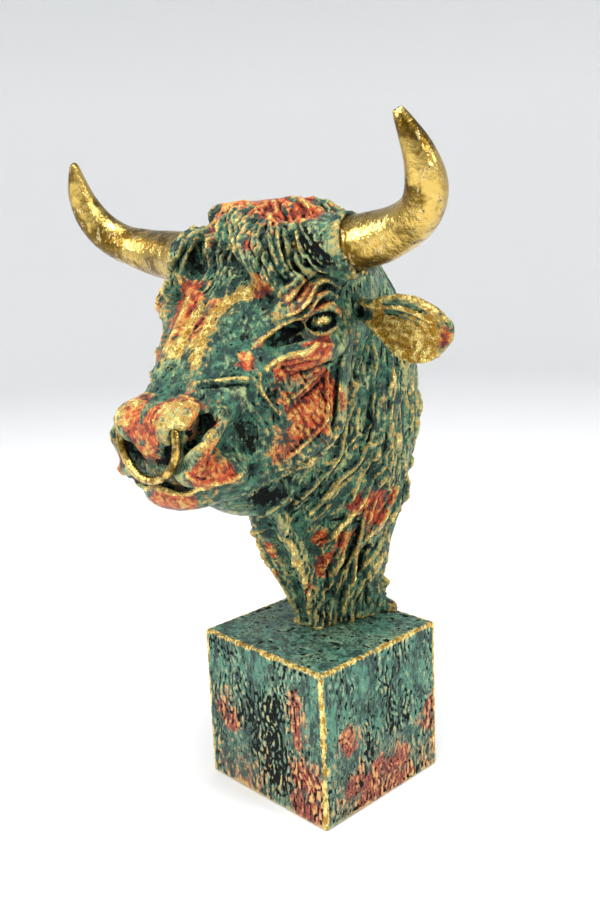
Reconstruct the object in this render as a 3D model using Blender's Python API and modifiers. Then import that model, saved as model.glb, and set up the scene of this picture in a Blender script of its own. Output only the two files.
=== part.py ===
"""Bull head bust: a painted and gilded casting on a block plinth, with its horns and nose ring set in."""

import math

import bmesh
import bpy
import numpy as np
from mathutils import Euler, Matrix, Vector
from mathutils.bvhtree import BVHTree

# Driving dimensions, in metres.
PLINTH_WIDTH = 0.080
PLINTH_DEPTH = 0.080
PLINTH_HEIGHT = 0.077
PLINTH_EDGE = 0.0012
BUST_HEIGHT = 0.206
SEAT_GAP = 0.0003
SOCKET_GAP = 0.0003
HORN_ROOT_RADIUS = 0.0118
RING_BEND_RADIUS = 0.0170
RING_ROD_RADIUS = 0.0020

# The figure is written in parts of its own height, 206 from the neck's foot to the poll.
PART = BUST_HEIGHT / 206

# The head is turned and tipped a little on the neck, as one poured by hand would be.
HEAD_TURN = math.radians(4.1)
HEAD_TILT = math.radians(-2.0)
TURN_FROM = 45
TURN_TO = 110
TILT_PIVOT = 123
FOOT_SHIFT = -3

# Resolution of the clay, points to a span of a stroke, and the triangles that the finished bust keeps.
CLAY_VOXEL = 1.3
CARVED_VOXEL = 1.1
STROKE_STEPS = 4
BUST_TRIANGLES = 7600

# Horn: the four control points of its centre line, where on that line it starts inside the skull, and its
# radius from root to tip as shares of the root's.
HORN_CURVE = ((21, -40, 176.5), (63, -19, 185), (113, -36, 179.5), (93, -51, 226))
HORN_START = 0.05
HORN_COLLAR = 2.4
HORN_TAPER = (1.0, 1.0, 0.99, 0.94, 0.86, 0.78, 0.73, 0.70, 0.66, 0.58, 0.41, 0.14)

# Ring: the centre of its bow, and how far round from the bottom each end stands.
RING_TOP = (0, -98.5, 112)
RING_OPENING = math.radians(112)
RING_STEPS = 22

# Head axis: it runs forward and down at 45 degrees from behind the poll.
AXIS_START_Y = 0
AXIS_START_Z = 193
SLOPE = math.sqrt(0.5)

# Eye: its ball, the way it looks, and the way its slit runs from the tear corner back.
EYE_CENTRE = Vector((42.6, -39.6, 152.6))
EYE_RADIUS = 5.2
EYE_GAZE = Vector((0.78, -0.62, 0.05)).normalized()
EYE_UP = EYE_GAZE.cross(Vector((0.62, 0.77, 0.15))).normalized()
EYE_ALONG = EYE_UP.cross(EYE_GAZE)
BROW_FOLDS = 3
CROWN = Vector((0, -14, 212))
LOCKS = 36

# A bead of filler that was left behind the left back corner of the neck's foot.
FILLER_BEAD = (17, 36, 2)

# Folds of hide on one side of the neck, ridges first, then the furrows between them.
NECK_FOLDS = (
    [(9, -34, 60), (12, -28, 54), (12, -22, 47), (11, -18, 38), (8, -13, 24), (6, -10, 15), (5, -7, 6)],
    [(13, -26, 75), (18, -39, 73), (16, -46, 69), (12, -50, 67)],
    [(25, -8, 79), (22, -11, 73), (19, -11, 64), (13, -15, 56), (8, -15, 46)],
    [(26, 0, 66), (20, -1, 53), (13, -7, 45)],
    [(45, -14, 151), (38, -8, 125), (38, -12, 108), (36, -20, 95), (32, -28, 90)],
    [(34, 21, 90), (33, 20, 79), (31, 19, 69)],
    [(31, 4, 93), (32, 15, 72)],
    [(20, 40, 60), (14, 32, 44), (12, 26, 30), (10, 16, 14)],
)
NECK_FURROWS = (
    [(27, 3, 65), (25, 5, 56), (21, 9, 44), (15, 7, 31), (10, 4, 23)],
    [(24, 11, 49), (20, 10, 41), (15, 9, 31), (13, 7, 27)],
    [(21, 16, 38), (18, 15, 34), (15, 14, 25)],
    [(34, 8, 128), (35, 4, 112), (34, 2, 98), (30, -2, 86)],
    [(33, 28, 130), (34, 28, 112), (34, 30, 96), (30, 34, 80)],
)


def clear_scene():
    for obj in list(bpy.data.objects):
        bpy.data.objects.remove(obj, do_unlink=True)


def new_collection(name, hidden=False):
    group = bpy.data.collections.new(name)
    bpy.context.scene.collection.children.link(group)
    group.hide_render = hidden
    return group


def material(name, colour, roughness, metallic):
    made = bpy.data.materials.new(name)
    made.use_nodes = True
    shader = made.node_tree.nodes["Principled BSDF"]
    shader.inputs["Base Color"].default_value = (*colour, 1)
    shader.inputs["Roughness"].default_value = roughness
    shader.inputs["Metallic"].default_value = metallic
    return made


def add_mesh(name, mesh, group):
    obj = bpy.data.objects.new(name, mesh)
    group.objects.link(obj)
    return obj


def on_head(x, along, out):
    """A point beside the head's axis: x to the bull's left, along it from the poll, and out of the face."""
    return Vector((x, AXIS_START_Y - SLOPE * (along + out), AXIS_START_Z - SLOPE * (along - out)))


def both_sides(points):
    return [points, [Vector((-p[0], p[1], p[2])) for p in points]]


# Clay: lumps that are laid over each other before they are melted into one form.

def lump(group, centre, radii, turn=(0, 0, 0)):
    work = bmesh.new()
    bmesh.ops.create_icosphere(work, subdivisions=4, radius=1)
    tilt = [math.radians(a) for a in turn]
    spin = Euler(tilt).to_matrix().to_4x4()
    place = Matrix.Translation(Vector(centre)) @ spin @ Matrix.Diagonal((*radii, 1))
    bmesh.ops.transform(work, matrix=place, verts=work.verts)
    mesh = bpy.data.meshes.new("lump")
    work.to_mesh(mesh)
    work.free()
    return add_mesh("lump", mesh, group)


def paired_lumps(group, centre, radii, turn=(0, 0, 0)):
    x, y, z = centre
    a, b, c = turn
    lump(group, (x, y, z), radii, (a, b, c))
    lump(group, (-x, y, z), radii, (a, -b, -c))


def smooth_line(points, steps):
    """A Catmull-Rom curve through points, steps to a span."""
    knots = [np.array(p, float) for p in points]
    knots = [2 * knots[0] - knots[1]] + knots + [2 * knots[-1] - knots[-2]]
    line = []
    for a, b, c, d in zip(knots, knots[1:], knots[2:], knots[3:]):
        for k in range(steps):
            t = k / steps
            bend = 2 * a - 5 * b + 4 * c - d
            twist = 3 * b - a - 3 * c + d
            line.append(0.5 * (2 * b + (c - a) * t + bend * t**2 + twist * t**3))
    line.append(knots[-2])
    return line


def roll(group, points, radii, name="roll", sides=3, steps=5):
    """A roll of clay along points, as a bevelled curve turned into a mesh with closed ends."""
    stations = [(*p, r) for p, r in zip(points, radii)]
    line = smooth_line(stations, steps)
    curve = bpy.data.curves.new(name, "CURVE")
    curve.dimensions = "3D"
    curve.bevel_depth = 1
    curve.bevel_resolution = sides
    curve.use_fill_caps = True
    spline = curve.splines.new("POLY")
    spline.points.add(len(line) - 1)
    for point, station in zip(spline.points, line):
        point.co = (*station[:3], 1)
        point.radius = max(station[3], 0.05)
    guide = add_mesh(name, curve, group)
    bpy.context.view_layer.update()
    mesh = bpy.data.meshes.new_from_object(guide.evaluated_get(bpy.context.evaluated_depsgraph_get()))
    bpy.data.objects.remove(guide)
    bpy.data.curves.remove(curve)
    work = bmesh.new()
    work.from_mesh(mesh)
    bmesh.ops.remove_doubles(work, verts=work.verts, dist=1e-5)
    bmesh.ops.recalc_face_normals(work, faces=work.faces)
    work.to_mesh(mesh)
    work.free()
    return add_mesh(name, mesh, group)


def paired_rolls(group, points, radii):
    for side in both_sides([Vector(p) for p in points]):
        roll(group, side, radii)


def section(half_width, front, back, front_power, back_power, count=40):
    """Outline of a slice, as (sideways, forward) pairs. A power of 2 makes an ellipse, and 1 a wedge."""
    outline = []
    for k in range(count):
        angle = 2 * math.pi * k / count
        c, s = math.cos(angle), math.sin(angle)
        power = front_power if s > 0 else back_power
        reach = front if s > 0 else back
        sideways = math.copysign(abs(c) ** (2 / power), c) * half_width
        outline.append((sideways, math.copysign(abs(s) ** (2 / power), s) * reach))
    return outline


def loft(group, slices):
    """A closed form through slices, each a list of points in space."""
    work = bmesh.new()
    rings = [[work.verts.new(p) for p in points] for points in slices]
    for low, high in zip(rings, rings[1:]):
        for k in range(len(low)):
            n = (k + 1) % len(low)
            work.faces.new((low[k], low[n], high[n], high[k]))
    work.faces.new(rings[0][::-1])
    work.faces.new(rings[-1])
    bmesh.ops.recalc_face_normals(work, faces=work.faces)
    mesh = bpy.data.meshes.new("loft")
    work.to_mesh(mesh)
    work.free()
    return add_mesh("loft", mesh, group)


def neck_clay(group):
    """Wedge-shaped neck from the plinth to the nape: two cords meet in front, and it is broad behind."""
    stations = (
        # height, throat y, widest y, nape y, half width
        (-8, -7, 27, 39, 17),
        (8, -7, 27, 40, 17),
        (20, -8, 25, 40, 17),
        (34, -12, 22, 42, 20),
        (44, -17, 20, 46, 23),
        (54, -24, 18, 53, 27),
        (66, -32, 17, 56, 30),
        (87, -44, 15, 61, 33),
        (110, -46, 15, 64, 34),
        (138, -42, 12, 60, 36),
        (160, -38, 8, 45, 33),
        (180, -34, 0, 26, 31),
        (194, -28, -6, 12, 24),
    )
    slices = []
    for height, throat, widest, nape, half in stations:
        outline = section(half, widest - throat, nape - widest, 1.35, 2.1)
        slices.append([(x, widest - forward, height) for x, forward in outline])
    loft(group, slices)
    cord = [(10, -32, 66), (8, -23, 54), (7, -16, 40), (5.5, -8, 24), (4.5, -4, 8), (4.5, -4, -8)]
    paired_rolls(group, cord, [3, 4.5, 4.5, 4, 4, 4])


def skull_clay(group):
    """Face and jaws, sliced square to the head's axis."""
    stations = (
        # along, half width, centre out, reach up, reach down
        (0, 30, -8, 20, 28),
        (12, 40, -8, 27, 34),
        (26, 44, -8, 28, 40),
        (42, 42, -8, 27, 42),
        (56, 40, -9, 27, 43),
        (70, 37, -10, 28, 42),
        (86, 33, -10, 28, 38),
        (102, 28, -9, 25, 32),
        (112, 23, -8, 22, 29),
        (119, 20, -8, 19, 26),
        (125, 15, -8, 13, 20),
    )
    slices = []
    for along, half, centre, up, down in stations:
        outline = section(half, up, down, 2.7, 2.3)
        slices.append([on_head(x, along, centre + out) for x, out in outline])
    loft(group, slices)


def ear_clay(group, side):
    """A cupped leaf: narrow at the skull, broad past its middle, its hollow turned forward and down."""
    root = Vector((44, -16, 156))
    tip = Vector((86, -9, 144)) if side > 0 else Vector((84, 3, 144))
    length = (tip - root).length
    out = (tip - root).normalized()
    facing = Vector((0.30, -0.86, -0.42))
    facing = (facing - facing.dot(out) * out).normalized()
    across = out.cross(facing)
    half_width = 15.5
    cup_depth = 7.0
    wall = 3.6
    rows = 16
    columns = 13
    work = bmesh.new()
    grid = []
    for i in range(rows):
        u = i / (rows - 1)
        swell = max(math.sin(math.pi * min(u, 0.97) ** 1.4), 0) ** 0.6
        width = half_width * max(swell, 0.34 if u < 0.5 else 0.1)
        row = []
        for j in range(columns):
            v = 2 * j / (columns - 1) - 1
            cup = cup_depth * (v * v - 0.5) * min(1, 3 * (1 - u) + 0.3)
            rise = cup + 3 * math.sin(math.pi * u)
            p = root + out * (u * length) + across * (v * width) + facing * rise
            row.append(work.verts.new((side * p.x, p.y, p.z)))
        grid.append(row)
    for low, high in zip(grid, grid[1:]):
        for k in range(columns - 1):
            corners = (low[k], low[k + 1], high[k + 1], high[k])
            work.faces.new(corners if side > 0 else corners[::-1])
    mesh = bpy.data.meshes.new("ear")
    work.to_mesh(mesh)
    work.free()
    ear = add_mesh("ear", mesh, group)
    thick = ear.modifiers.new("wall", "SOLIDIFY")
    thick.thickness = wall
    thick.offset = 0
    bake(ear)


def brow_clay(group):
    """The rim over each eye, the arch of the cheek under it, and the flesh between them."""
    paired_lumps(group, (34, -40, 152), (10, 11, 12))
    rim = [(27, -57, 152), (32, -54, 155), (37, -49.5, 160), (41, -43, 163.5), (43, -32, 162)]
    arch = [(29, -60, 134), (34, -53, 138), (40, -45, 140), (42, -34, 142), (41, -22, 147)]
    paired_rolls(group, rim, [2.6, 4.2, 5.4, 5.8, 5.6])
    paired_rolls(group, arch, [4, 5.5, 6, 6, 5])


def jaw_clay(group):
    """Cheek and lower jaw: a flat mass whose back edge drops from the ear and turns forward to the chin."""
    edge = [(42, -24, 156), (40, -24, 142), (37, -24, 124), (35, -27, 110), (32, -34, 101), (27, -46, 96),
            (21, -58, 91), (13, -70, 87)]
    paired_rolls(group, edge, [4, 4.5, 5, 6, 7, 7, 7, 7])
    paired_lumps(group, (24, -38, 120), (13, 22, 30), (12, 0, 0))
    paired_lumps(group, (22, -46, 106), (11, 24, 16), (-12, 0, 0))
    lump(group, (0, -46, 80), (18, 26, 13), (-20, 0, 0))


def muzzle_clay(group):
    """Nose pad, the wing round each nostril, the lip lobes under them, and the chin."""
    lump(group, (0, -91, 114), (13, 11.5, 13))
    paired_lumps(group, (12, -91, 117), (12, 12, 10))
    paired_rolls(group, [(24, -78, 122), (27, -86, 117), (26, -92, 110), (20, -95, 104)], [4, 4, 4, 4])
    lump(group, (0, -85, 99), (16, 12, 10))
    paired_lumps(group, (17, -85, 98), (12, 12, 10))
    paired_lumps(group, (22, -75, 96), (8, 9, 8.5))
    lump(group, (0, -78, 87), (20, 17, 9))


def hair_clay(group):
    """Cap of hair on the poll, run out over the horns' roots, and swept down to the left brow."""
    lump(group, (0, -16, 189), (41, 19, 14))
    paired_lumps(group, (14, -20, 194), (15, 15, 9))
    paired_lumps(group, (12, -33, 183), (15, 10, 14), (-30, 0, 0))
    collar = HORN_ROOT_RADIUS / PART + HORN_COLLAR
    for flip, reach in ((1, 0.28), (-1, 0.11)):
        line = [horn_point(reach * k / 3) for k in range(4)]
        line = [Vector((flip * p.x, p.y, p.z)) for p in line]
        roll(group, line, [collar + 2, collar + 1.4, collar + 0.6, collar])
    sweep = ((-6, -36, 191), (8, -40, 189), (18, -45, 183), (28, -48, 175), (36, -47, 167))
    roll(group, [Vector(p) for p in sweep], [9, 10, 11, 10, 7])


def build_clay(group):
    neck_clay(group)
    skull_clay(group)
    brow_clay(group)
    jaw_clay(group)
    muzzle_clay(group)
    hair_clay(group)
    lump(group, FILLER_BEAD, (6, 4, 5))
    for side in (1, -1):
        ear_clay(group, side)


def melt(group, voxel, soft_steps):
    """Joins all the clay in a collection and melts it into one closed skin."""
    lumps = list(group.objects)
    with bpy.context.temp_override(active_object=lumps[0], object=lumps[0], selected_editable_objects=lumps,
                                   selected_objects=lumps):
        bpy.ops.object.join()
    clay = lumps[0]
    skin = clay.modifiers.new("skin", "REMESH")
    skin.mode = "VOXEL"
    skin.voxel_size = voxel
    soft = clay.modifiers.new("soft", "SMOOTH")
    soft.factor = 0.5
    soft.iterations = soft_steps
    bake(clay)
    return clay


class Carving:
    """Strokes of the modelling tool on a melted skin, each along a path laid on the surface."""

    def __init__(self, obj):
        self.mesh = obj.data
        self.points = read_points(self.mesh, "co")
        self.normals = read_points(self.mesh, "normal")
        self.lift = np.zeros(len(self.points))
        work = bmesh.new()
        work.from_mesh(self.mesh)
        self.tree = BVHTree.FromBMesh(work)
        work.free()

    def stroke(self, points, width, height, both=True, fade=0.25):
        """Raises the skin by height within width of the path, or sinks it, fading towards both ends."""
        for path in both_sides([Vector(p) for p in points]) if both else [points]:
            found = [self.tree.find_nearest(Vector(p)) for p in smooth_line(path, STROKE_STEPS)]
            line = np.array([hit[0] for hit in found])
            facing = np.array([hit[1] for hit in found])
            close = (self.points > line.min(axis=0) - width) & (self.points < line.max(axis=0) + width)
            near = np.nonzero(close.all(axis=1))[0]
            gap, share, nearest = distance_to_line(self.points[near], line)
            fall = np.clip(1 - (gap / width) ** 2, 0, None) ** 2
            ends = np.clip(share / fade, 0, 1) * np.clip((1 - share) / fade, 0, 1)
            agrees = np.clip(2 * (self.normals[near] * facing[nearest]).sum(axis=1), 0, 1)
            self.lift[near] += height * fall * ends * agrees

    def finish(self):
        moved = self.points + self.normals * self.lift[:, None]
        self.mesh.vertices.foreach_set("co", moved.ravel())
        self.mesh.update()


def read_points(mesh, attribute):
    flat = np.empty(len(mesh.vertices) * 3)
    mesh.vertices.foreach_get(attribute, flat)
    return flat.reshape(-1, 3)


def distance_to_line(points, line):
    """For each point: its distance to the line, its place along it from 0 to 1, and the nearest knot."""
    best = np.full(len(points), np.inf)
    share = np.zeros(len(points))
    knot = np.zeros(len(points), int)
    for k in range(len(line) - 1):
        span = line[k + 1] - line[k]
        size = max(span @ span, 1e-9)
        t = np.clip((points - line[k]) @ span / size, 0, 1)
        gap = np.linalg.norm(points - line[k] - t[:, None] * span, axis=1)
        closer = gap < best
        best[closer] = gap[closer]
        share[closer] = (k + t[closer]) / (len(line) - 1)
        knot[closer] = k
    return best, share, knot


def carve_face(skin):
    """The hollows and ridges of the face that shape it from a step away."""
    # edges of the nose's flat top, and the hollow beside each
    nose = [(27, -42, 173), (20, -49, 168), (14, -59, 157), (12, -70, 146), (12, -79, 135), (13, -84, 128)]
    skin.stroke(nose, 6, 2.2)
    skin.stroke([(24, -58, 152), (22, -67, 144), (23, -74, 136), (24, -78, 128)], 9, -2.0)
    # eye sockets under the brow, running forward to the tear corner
    skin.stroke([(29, -60, 144), (34, -57, 147), (40, -52, 150)], 3.6, -3.6)
    skin.stroke([(39, -54, 149), (44, -51, 151), (49, -44, 153), (51, -36, 153)], 6.5, -4.0)
    # tear ridge, crest of the cheek and the pit below its front end
    skin.stroke([(23, -70, 137), (26, -64, 142), (28, -58, 147), (33, -54, 152)], 3.5, 1.6)
    crest = [(19, -77, 133), (24, -71, 132), (28, -63, 133), (31, -57, 137), (42, -51, 141), (47, -43, 143)]
    skin.stroke(crest, 3.5, 2.0)
    skin.stroke([(28, -63, 131), (28, -63, 126), (31, -56, 119), (34, -50, 114)], 3, 1.6)
    skin.stroke([(26, -66, 129), (29, -60, 124), (33, -54, 128)], 4, -2.6)
    skin.stroke([(32, -54, 123), (34, -49, 128), (37, -40, 132), (39, -28, 138)], 4, 2.0)
    # flat of the cheek, and the hollow between it and the lips
    skin.stroke([(36, -42, 122), (35, -36, 112), (33, -38, 104)], 10, 2.0)
    skin.stroke([(27, -74, 120), (26, -68, 110), (27, -64, 100)], 9, -3.4)
    # edge of the jaw, doubled, and the step down to the neck behind it
    edge = [(41, -25, 148), (38, -25, 124), (35, -29, 106), (28, -45, 97), (20, -60, 91)]
    step_down = [(43, -17, 152), (40, -16, 128), (38, -19, 108), (33, -32, 97), (25, -46, 91), (17, -60, 84)]
    skin.stroke(edge, 4, 1.6)
    skin.stroke(step_down, 5, -3.0)
    # nostrils
    skin.stroke([(22, -84, 122), (24, -92, 117), (20, -98, 112), (16, -100, 110)], 5.5, -10.0, fade=0.12)
    skin.stroke([(22, -94, 113), (20, -97, 107), (18, -98, 104)], 3, -3.0)
    # mouth, with a lip lobe above it on each side
    mouth = [(0, -96, 93), (10, -95, 93), (20, -91, 92), (26, -82, 90), (27, -72, 89)]
    skin.stroke(mouth, 3.4, -3.6, fade=0.04)
    skin.stroke([(8, -98, 101), (15, -97, 98), (24, -89, 95), (28, -78, 94), (26, -70, 97)], 4, 1.6)
    skin.stroke([(30, -78, 104), (30, -70, 100), (28, -65, 95), (24, -66, 88)], 3.5, -2.4)
    # throat, hollow between the jaws
    skin.stroke([(22, -60, 86), (20, -50, 80), (18, -40, 74)], 8, -4.0)


def around_eye(bearing, along, up, out):
    """A point beside the left eye: bearing 0 is its back corner, 90 is over it, and out is its gaze."""
    angle = math.radians(bearing)
    across = EYE_ALONG * (along * math.cos(angle)) + EYE_UP * (up * math.sin(angle))
    return EYE_CENTRE + across + EYE_GAZE * out


def eye_clay(group):
    """Eyeballs in the carved sockets, each with its two lids lying on the ball."""
    paired_lumps(group, EYE_CENTRE, (EYE_RADIUS,) * 3)
    arch = ((190, 3.4), (145, 4.4), (100, 5.2), (50, 4.6), (-5, 3.4))
    upper = [around_eye(b, 8.2, 6.0, out) for b, out in arch]
    lower = [around_eye(b, 8.2, 5.4, 3.4) for b in (190, 225, 270, 315, 355)]
    paired_rolls(group, upper, [1.0, 1.7, 2.0, 1.8, 1.2])
    paired_rolls(group, lower, [1.0, 1.4, 1.6, 1.4, 1.2])


def carve_folds(skin):
    """Wrinkles of the brow, and folds of the neck's hide."""
    for k in range(BROW_FOLDS):
        for height, step in ((1.7, 0), (-1.6, 0.5)):
            along, up = 9.5 + 3.3 * (k + step), 11 + 5.2 * (k + step)
            fold = [around_eye(b, along, up, 5 - 1.5 * k) for b in (170, 140, 110, 80, 50, 20)]
            skin.stroke(fold, 2.3, height)
    for fold in NECK_FOLDS:
        skin.stroke(fold, 4.2, 2.5)
    for furrow in NECK_FURROWS:
        skin.stroke(furrow, 4.0, -2.6)


def carve_hair(skin):
    """Locks on the poll: they leave the crown on all bearings and wave as they fall, furrows between."""
    for k in range(LOCKS):
        bearing = math.radians(-125 + 250 * (k + 0.5) / LOCKS)
        across = Vector((math.cos(bearing), math.sin(bearing), 0))
        along = Vector((math.sin(bearing), -math.cos(bearing), 0))
        stretch = 1.25 * abs(along.x) + 0.8 * abs(along.y)
        start = 10 + 5 * (k % 3)
        reach = 40 + 7 * math.sin(2.3 * k)
        lock = []
        for step in range(6):
            s = start + (reach - start) * step / 5
            sway = 2.2 * math.sin(1.7 * k + s / 5)
            lock.append(CROWN + along * (s * stretch) + across * sway - Vector((0, 0, 0.016 * s * s)))
        skin.stroke(lock, 3.2, 1.2 if k % 2 else -1.7, both=False)


def bake(obj):
    """Puts an object's modifiers into its mesh."""
    bpy.context.view_layer.update()
    mesh = bpy.data.meshes.new_from_object(obj.evaluated_get(bpy.context.evaluated_depsgraph_get()))
    obj.modifiers.clear()
    obj.data = mesh


def turn_head(mesh):
    """Turns and tips what is above the throat, and leaves the neck's foot square on the plinth."""
    points = np.empty(len(mesh.vertices) * 3)
    mesh.vertices.foreach_get("co", points)
    points = points.reshape(-1, 3)
    mesh.vertices.foreach_set("co", turned(points).ravel())
    mesh.update()


def turned(points):
    share = np.clip((points[:, 2] - TURN_FROM) / (TURN_TO - TURN_FROM), 0, 1)
    share = share * share * (3 - 2 * share)
    x, y, z = points.T
    z = z - TILT_PIVOT
    ct, st = np.cos(share * HEAD_TILT), np.sin(share * HEAD_TILT)
    x, z = ct * x + st * z, ct * z - st * x
    cy, sy = np.cos(share * HEAD_TURN), np.sin(share * HEAD_TURN)
    x, y = cy * x - sy * y, sy * x + cy * y
    x = x + (1 - share) * FOOT_SHIFT
    return np.stack([x, y, z + TILT_PIVOT], axis=1)


def place(obj, head=True):
    if head:
        turn_head(obj.data)
    obj.data.transform(Matrix.Translation((0, 0, PLINTH_HEIGHT)) @ Matrix.Scale(PART, 4))


def horn_point(t):
    """A point of the left horn's centre line, from 0 inside the skull to 1 at the tip."""
    a, b, c, d = (Vector(p) for p in HORN_CURVE)
    return a * (1 - t) ** 3 + b * 3 * (1 - t) ** 2 * t + c * 3 * (1 - t) * t * t + d * t**3


def horn_tube(group, side, name, clearance=0.0):
    """One horn: out from the poll, then forward and up. A clearance makes its socket's cutter."""
    last = len(HORN_TAPER) - 1
    points = [horn_point(HORN_START + (1 - HORN_START) * k / last) for k in range(last + 1)]
    radii = [(HORN_ROOT_RADIUS * share + clearance) / PART for share in HORN_TAPER]
    points[0] -= (points[1] - points[0]).normalized() * clearance / PART
    points = [Vector((side * p.x, p.y, p.z)) for p in points]
    made = roll(group, points, radii, name, sides=3, steps=2)
    place(made)
    return made


def ring_tube(group, name, clearance=0.0):
    """The ring through the nose: an open bow whose ends stand in the nostrils."""
    x, y, z = RING_TOP
    bend = RING_BEND_RADIUS / PART
    points = []
    for k in range(RING_STEPS + 1):
        angle = RING_OPENING * (2 * k / RING_STEPS - 1)
        points.append(Vector((x + bend * math.sin(angle), y, z - bend * math.cos(angle))))
    radius = (RING_ROD_RADIUS + clearance) / PART
    made = roll(group, points, [radius] * len(points), name, sides=2, steps=1)
    place(made)
    return made


def plinth(group):
    """Square block with softly worn edges."""
    bpy.ops.mesh.primitive_cube_add(size=1, location=(0, 0, PLINTH_HEIGHT / 2))
    block = bpy.context.object
    block.name = "plinth"
    block.data.transform(Matrix.Diagonal((PLINTH_WIDTH, PLINTH_DEPTH, PLINTH_HEIGHT, 1)))
    edge = block.modifiers.new("worn_edges", "BEVEL")
    edge.width = PLINTH_EDGE
    edge.segments = 2
    for old in list(block.users_collection):
        old.objects.unlink(block)
    group.objects.link(block)
    return block


def seat_cutter(group):
    """A block that takes away all of the neck's clay below its seat on the plinth."""
    bpy.ops.mesh.primitive_cube_add(size=1)
    block = bpy.context.object
    block.name = "seat_cutter"
    top = PLINTH_HEIGHT + SEAT_GAP
    block.data.transform(Matrix.Translation((0, 0, top - BUST_HEIGHT / 2)) @ Matrix.Scale(BUST_HEIGHT, 4))
    for old in list(block.users_collection):
        old.objects.unlink(block)
    group.objects.link(block)
    return block


def cut(obj, cutter):
    cutter.display_type = "WIRE"
    cutter.hide_render = True
    hole = obj.modifiers.new(cutter.name, "BOOLEAN")
    hole.operation = "DIFFERENCE"
    hole.solver = "EXACT"
    hole.object = cutter


def bust(parts, clay_box):
    build_clay(clay_box)
    head = melt(clay_box, CLAY_VOXEL, 12)
    skin = Carving(head)
    carve_face(skin)
    skin.finish()
    eye_clay(clay_box)
    head = melt(clay_box, CARVED_VOXEL, 2)
    skin = Carving(head)
    carve_folds(skin)
    carve_hair(skin)
    skin.finish()
    head.name = "head_and_neck"
    refine = head.modifiers.new("even_faces", "REMESH")
    refine.mode = "VOXEL"
    refine.voxel_size = CARVED_VOXEL
    thin = head.modifiers.new("fewer_faces", "DECIMATE")
    thin.ratio = BUST_TRIANGLES / (2 * len(head.data.polygons))
    bake(head)
    clay_box.objects.unlink(head)
    parts.objects.link(head)
    place(head)
    return head


def main():
    clear_scene()
    parts = new_collection("bull_head_bust")
    clay_box = new_collection("clay")
    cutters = new_collection("cutters", hidden=True)
    head = bust(parts, clay_box)
    cut(head, seat_cutter(cutters))
    for side, name in ((1, "left"), (-1, "right")):
        cut(head, horn_tube(cutters, side, "socket_cutter_" + name, SOCKET_GAP))
        horn_tube(parts, side, "horn_" + name)
    cut(head, ring_tube(cutters, "ring_cutter", SOCKET_GAP))
    ring_tube(parts, "nose_ring")
    plinth(parts)
    bpy.data.collections.remove(clay_box)
    verdigris = material("verdigris_and_gold_patina", (0.10, 0.20, 0.17), 0.50, 0.25)
    gold = material("worn_gold_leaf", (0.62, 0.44, 0.14), 0.30, 0.90)
    block = material("verdigris_block", (0.12, 0.22, 0.19), 0.60, 0.15)
    finishes = {"head_and_neck": verdigris, "horn_left": gold, "horn_right": gold, "nose_ring": gold}
    for name, finish in finishes.items():
        bpy.data.objects[name].data.materials.append(finish)
        bpy.data.objects[name].data.shade_smooth()
    bpy.data.objects["plinth"].data.materials.append(block)


main()
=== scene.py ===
"""Looks of the bull head bust: the finish of its casting, its gilded horns and ring, and its block."""
import math

import bmesh
import bpy
import numpy as np
from mathutils import Matrix, Vector
from mathutils.bvhtree import BVHTree


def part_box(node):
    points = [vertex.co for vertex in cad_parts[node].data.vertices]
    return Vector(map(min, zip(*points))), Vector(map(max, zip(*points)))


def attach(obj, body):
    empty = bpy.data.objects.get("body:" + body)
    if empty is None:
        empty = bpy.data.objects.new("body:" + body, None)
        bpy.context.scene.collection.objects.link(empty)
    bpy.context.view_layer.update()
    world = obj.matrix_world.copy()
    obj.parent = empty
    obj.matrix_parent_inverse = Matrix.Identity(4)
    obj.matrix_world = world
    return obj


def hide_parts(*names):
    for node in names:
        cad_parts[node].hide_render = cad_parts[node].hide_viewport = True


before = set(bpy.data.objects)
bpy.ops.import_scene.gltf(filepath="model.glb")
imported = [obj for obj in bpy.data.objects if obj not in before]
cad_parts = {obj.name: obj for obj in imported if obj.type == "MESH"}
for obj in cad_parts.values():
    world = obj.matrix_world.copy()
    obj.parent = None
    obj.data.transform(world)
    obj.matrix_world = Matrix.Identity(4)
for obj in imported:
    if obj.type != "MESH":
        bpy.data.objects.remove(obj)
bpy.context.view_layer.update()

# Stage: a pale bowl-shaped floor, soft studio light from overhead and from both sides, and the camera
# a little above the bull's left eye, where the photographer stood.

CAMERA_PLACE = (0.3260, -0.3213, 0.2709)
CAMERA_YAW = math.radians(46.18)
CAMERA_PITCH = math.radians(-13.02)
CAMERA_ROLL = math.radians(-2.36)
CAMERA_LENS = 40
CAMERA_FILM = 36
CAMERA_NEAREST = 0.01
CAMERA_FARTHEST = 30
FLOOR_RADIUS = 1.3
FLOOR_RINGS = 4
FLOOR_SIDES = 96
FLOOR_COLOUR = (0.88, 0.88, 0.88)
FLOOR_ROUGHNESS = 0.6
FLOOR_BEND = 0.9
BEND_RINGS = 12
WALL_TOP = 3 * FLOOR_BEND
# the wall is painted greyer than the floor: painted shade, darker towards the top of the backdrop
SHADED_WALL_COLOUR = (0.70, 0.72, 0.73)
WALL_FADE = (0.55, 1.05)
# each lamp's place, the point that it is aimed at, its size in metres and its watts
LAMPS = {
    "overhead": ((0.15, -0.25, 1.35), (0, 0, 0.1), 0.6, 19),
    "left_box": ((-0.55, -1.05, 0.75), (0, 0, 0.2), 0.36, 12),
    "right_box": ((1.15, 0.25, 0.8), (0, 0, 0.18), 0.34, 11),
}
AIR_COLOUR = (0.95, 0.97, 1.0)
AIR_STRENGTH = 0.38
# the sockets of a Mix node that take its two colours and give the mixed one
MIX_UNDER = 6
MIX_OVER = 7
MIX_RESULT = 2


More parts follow.
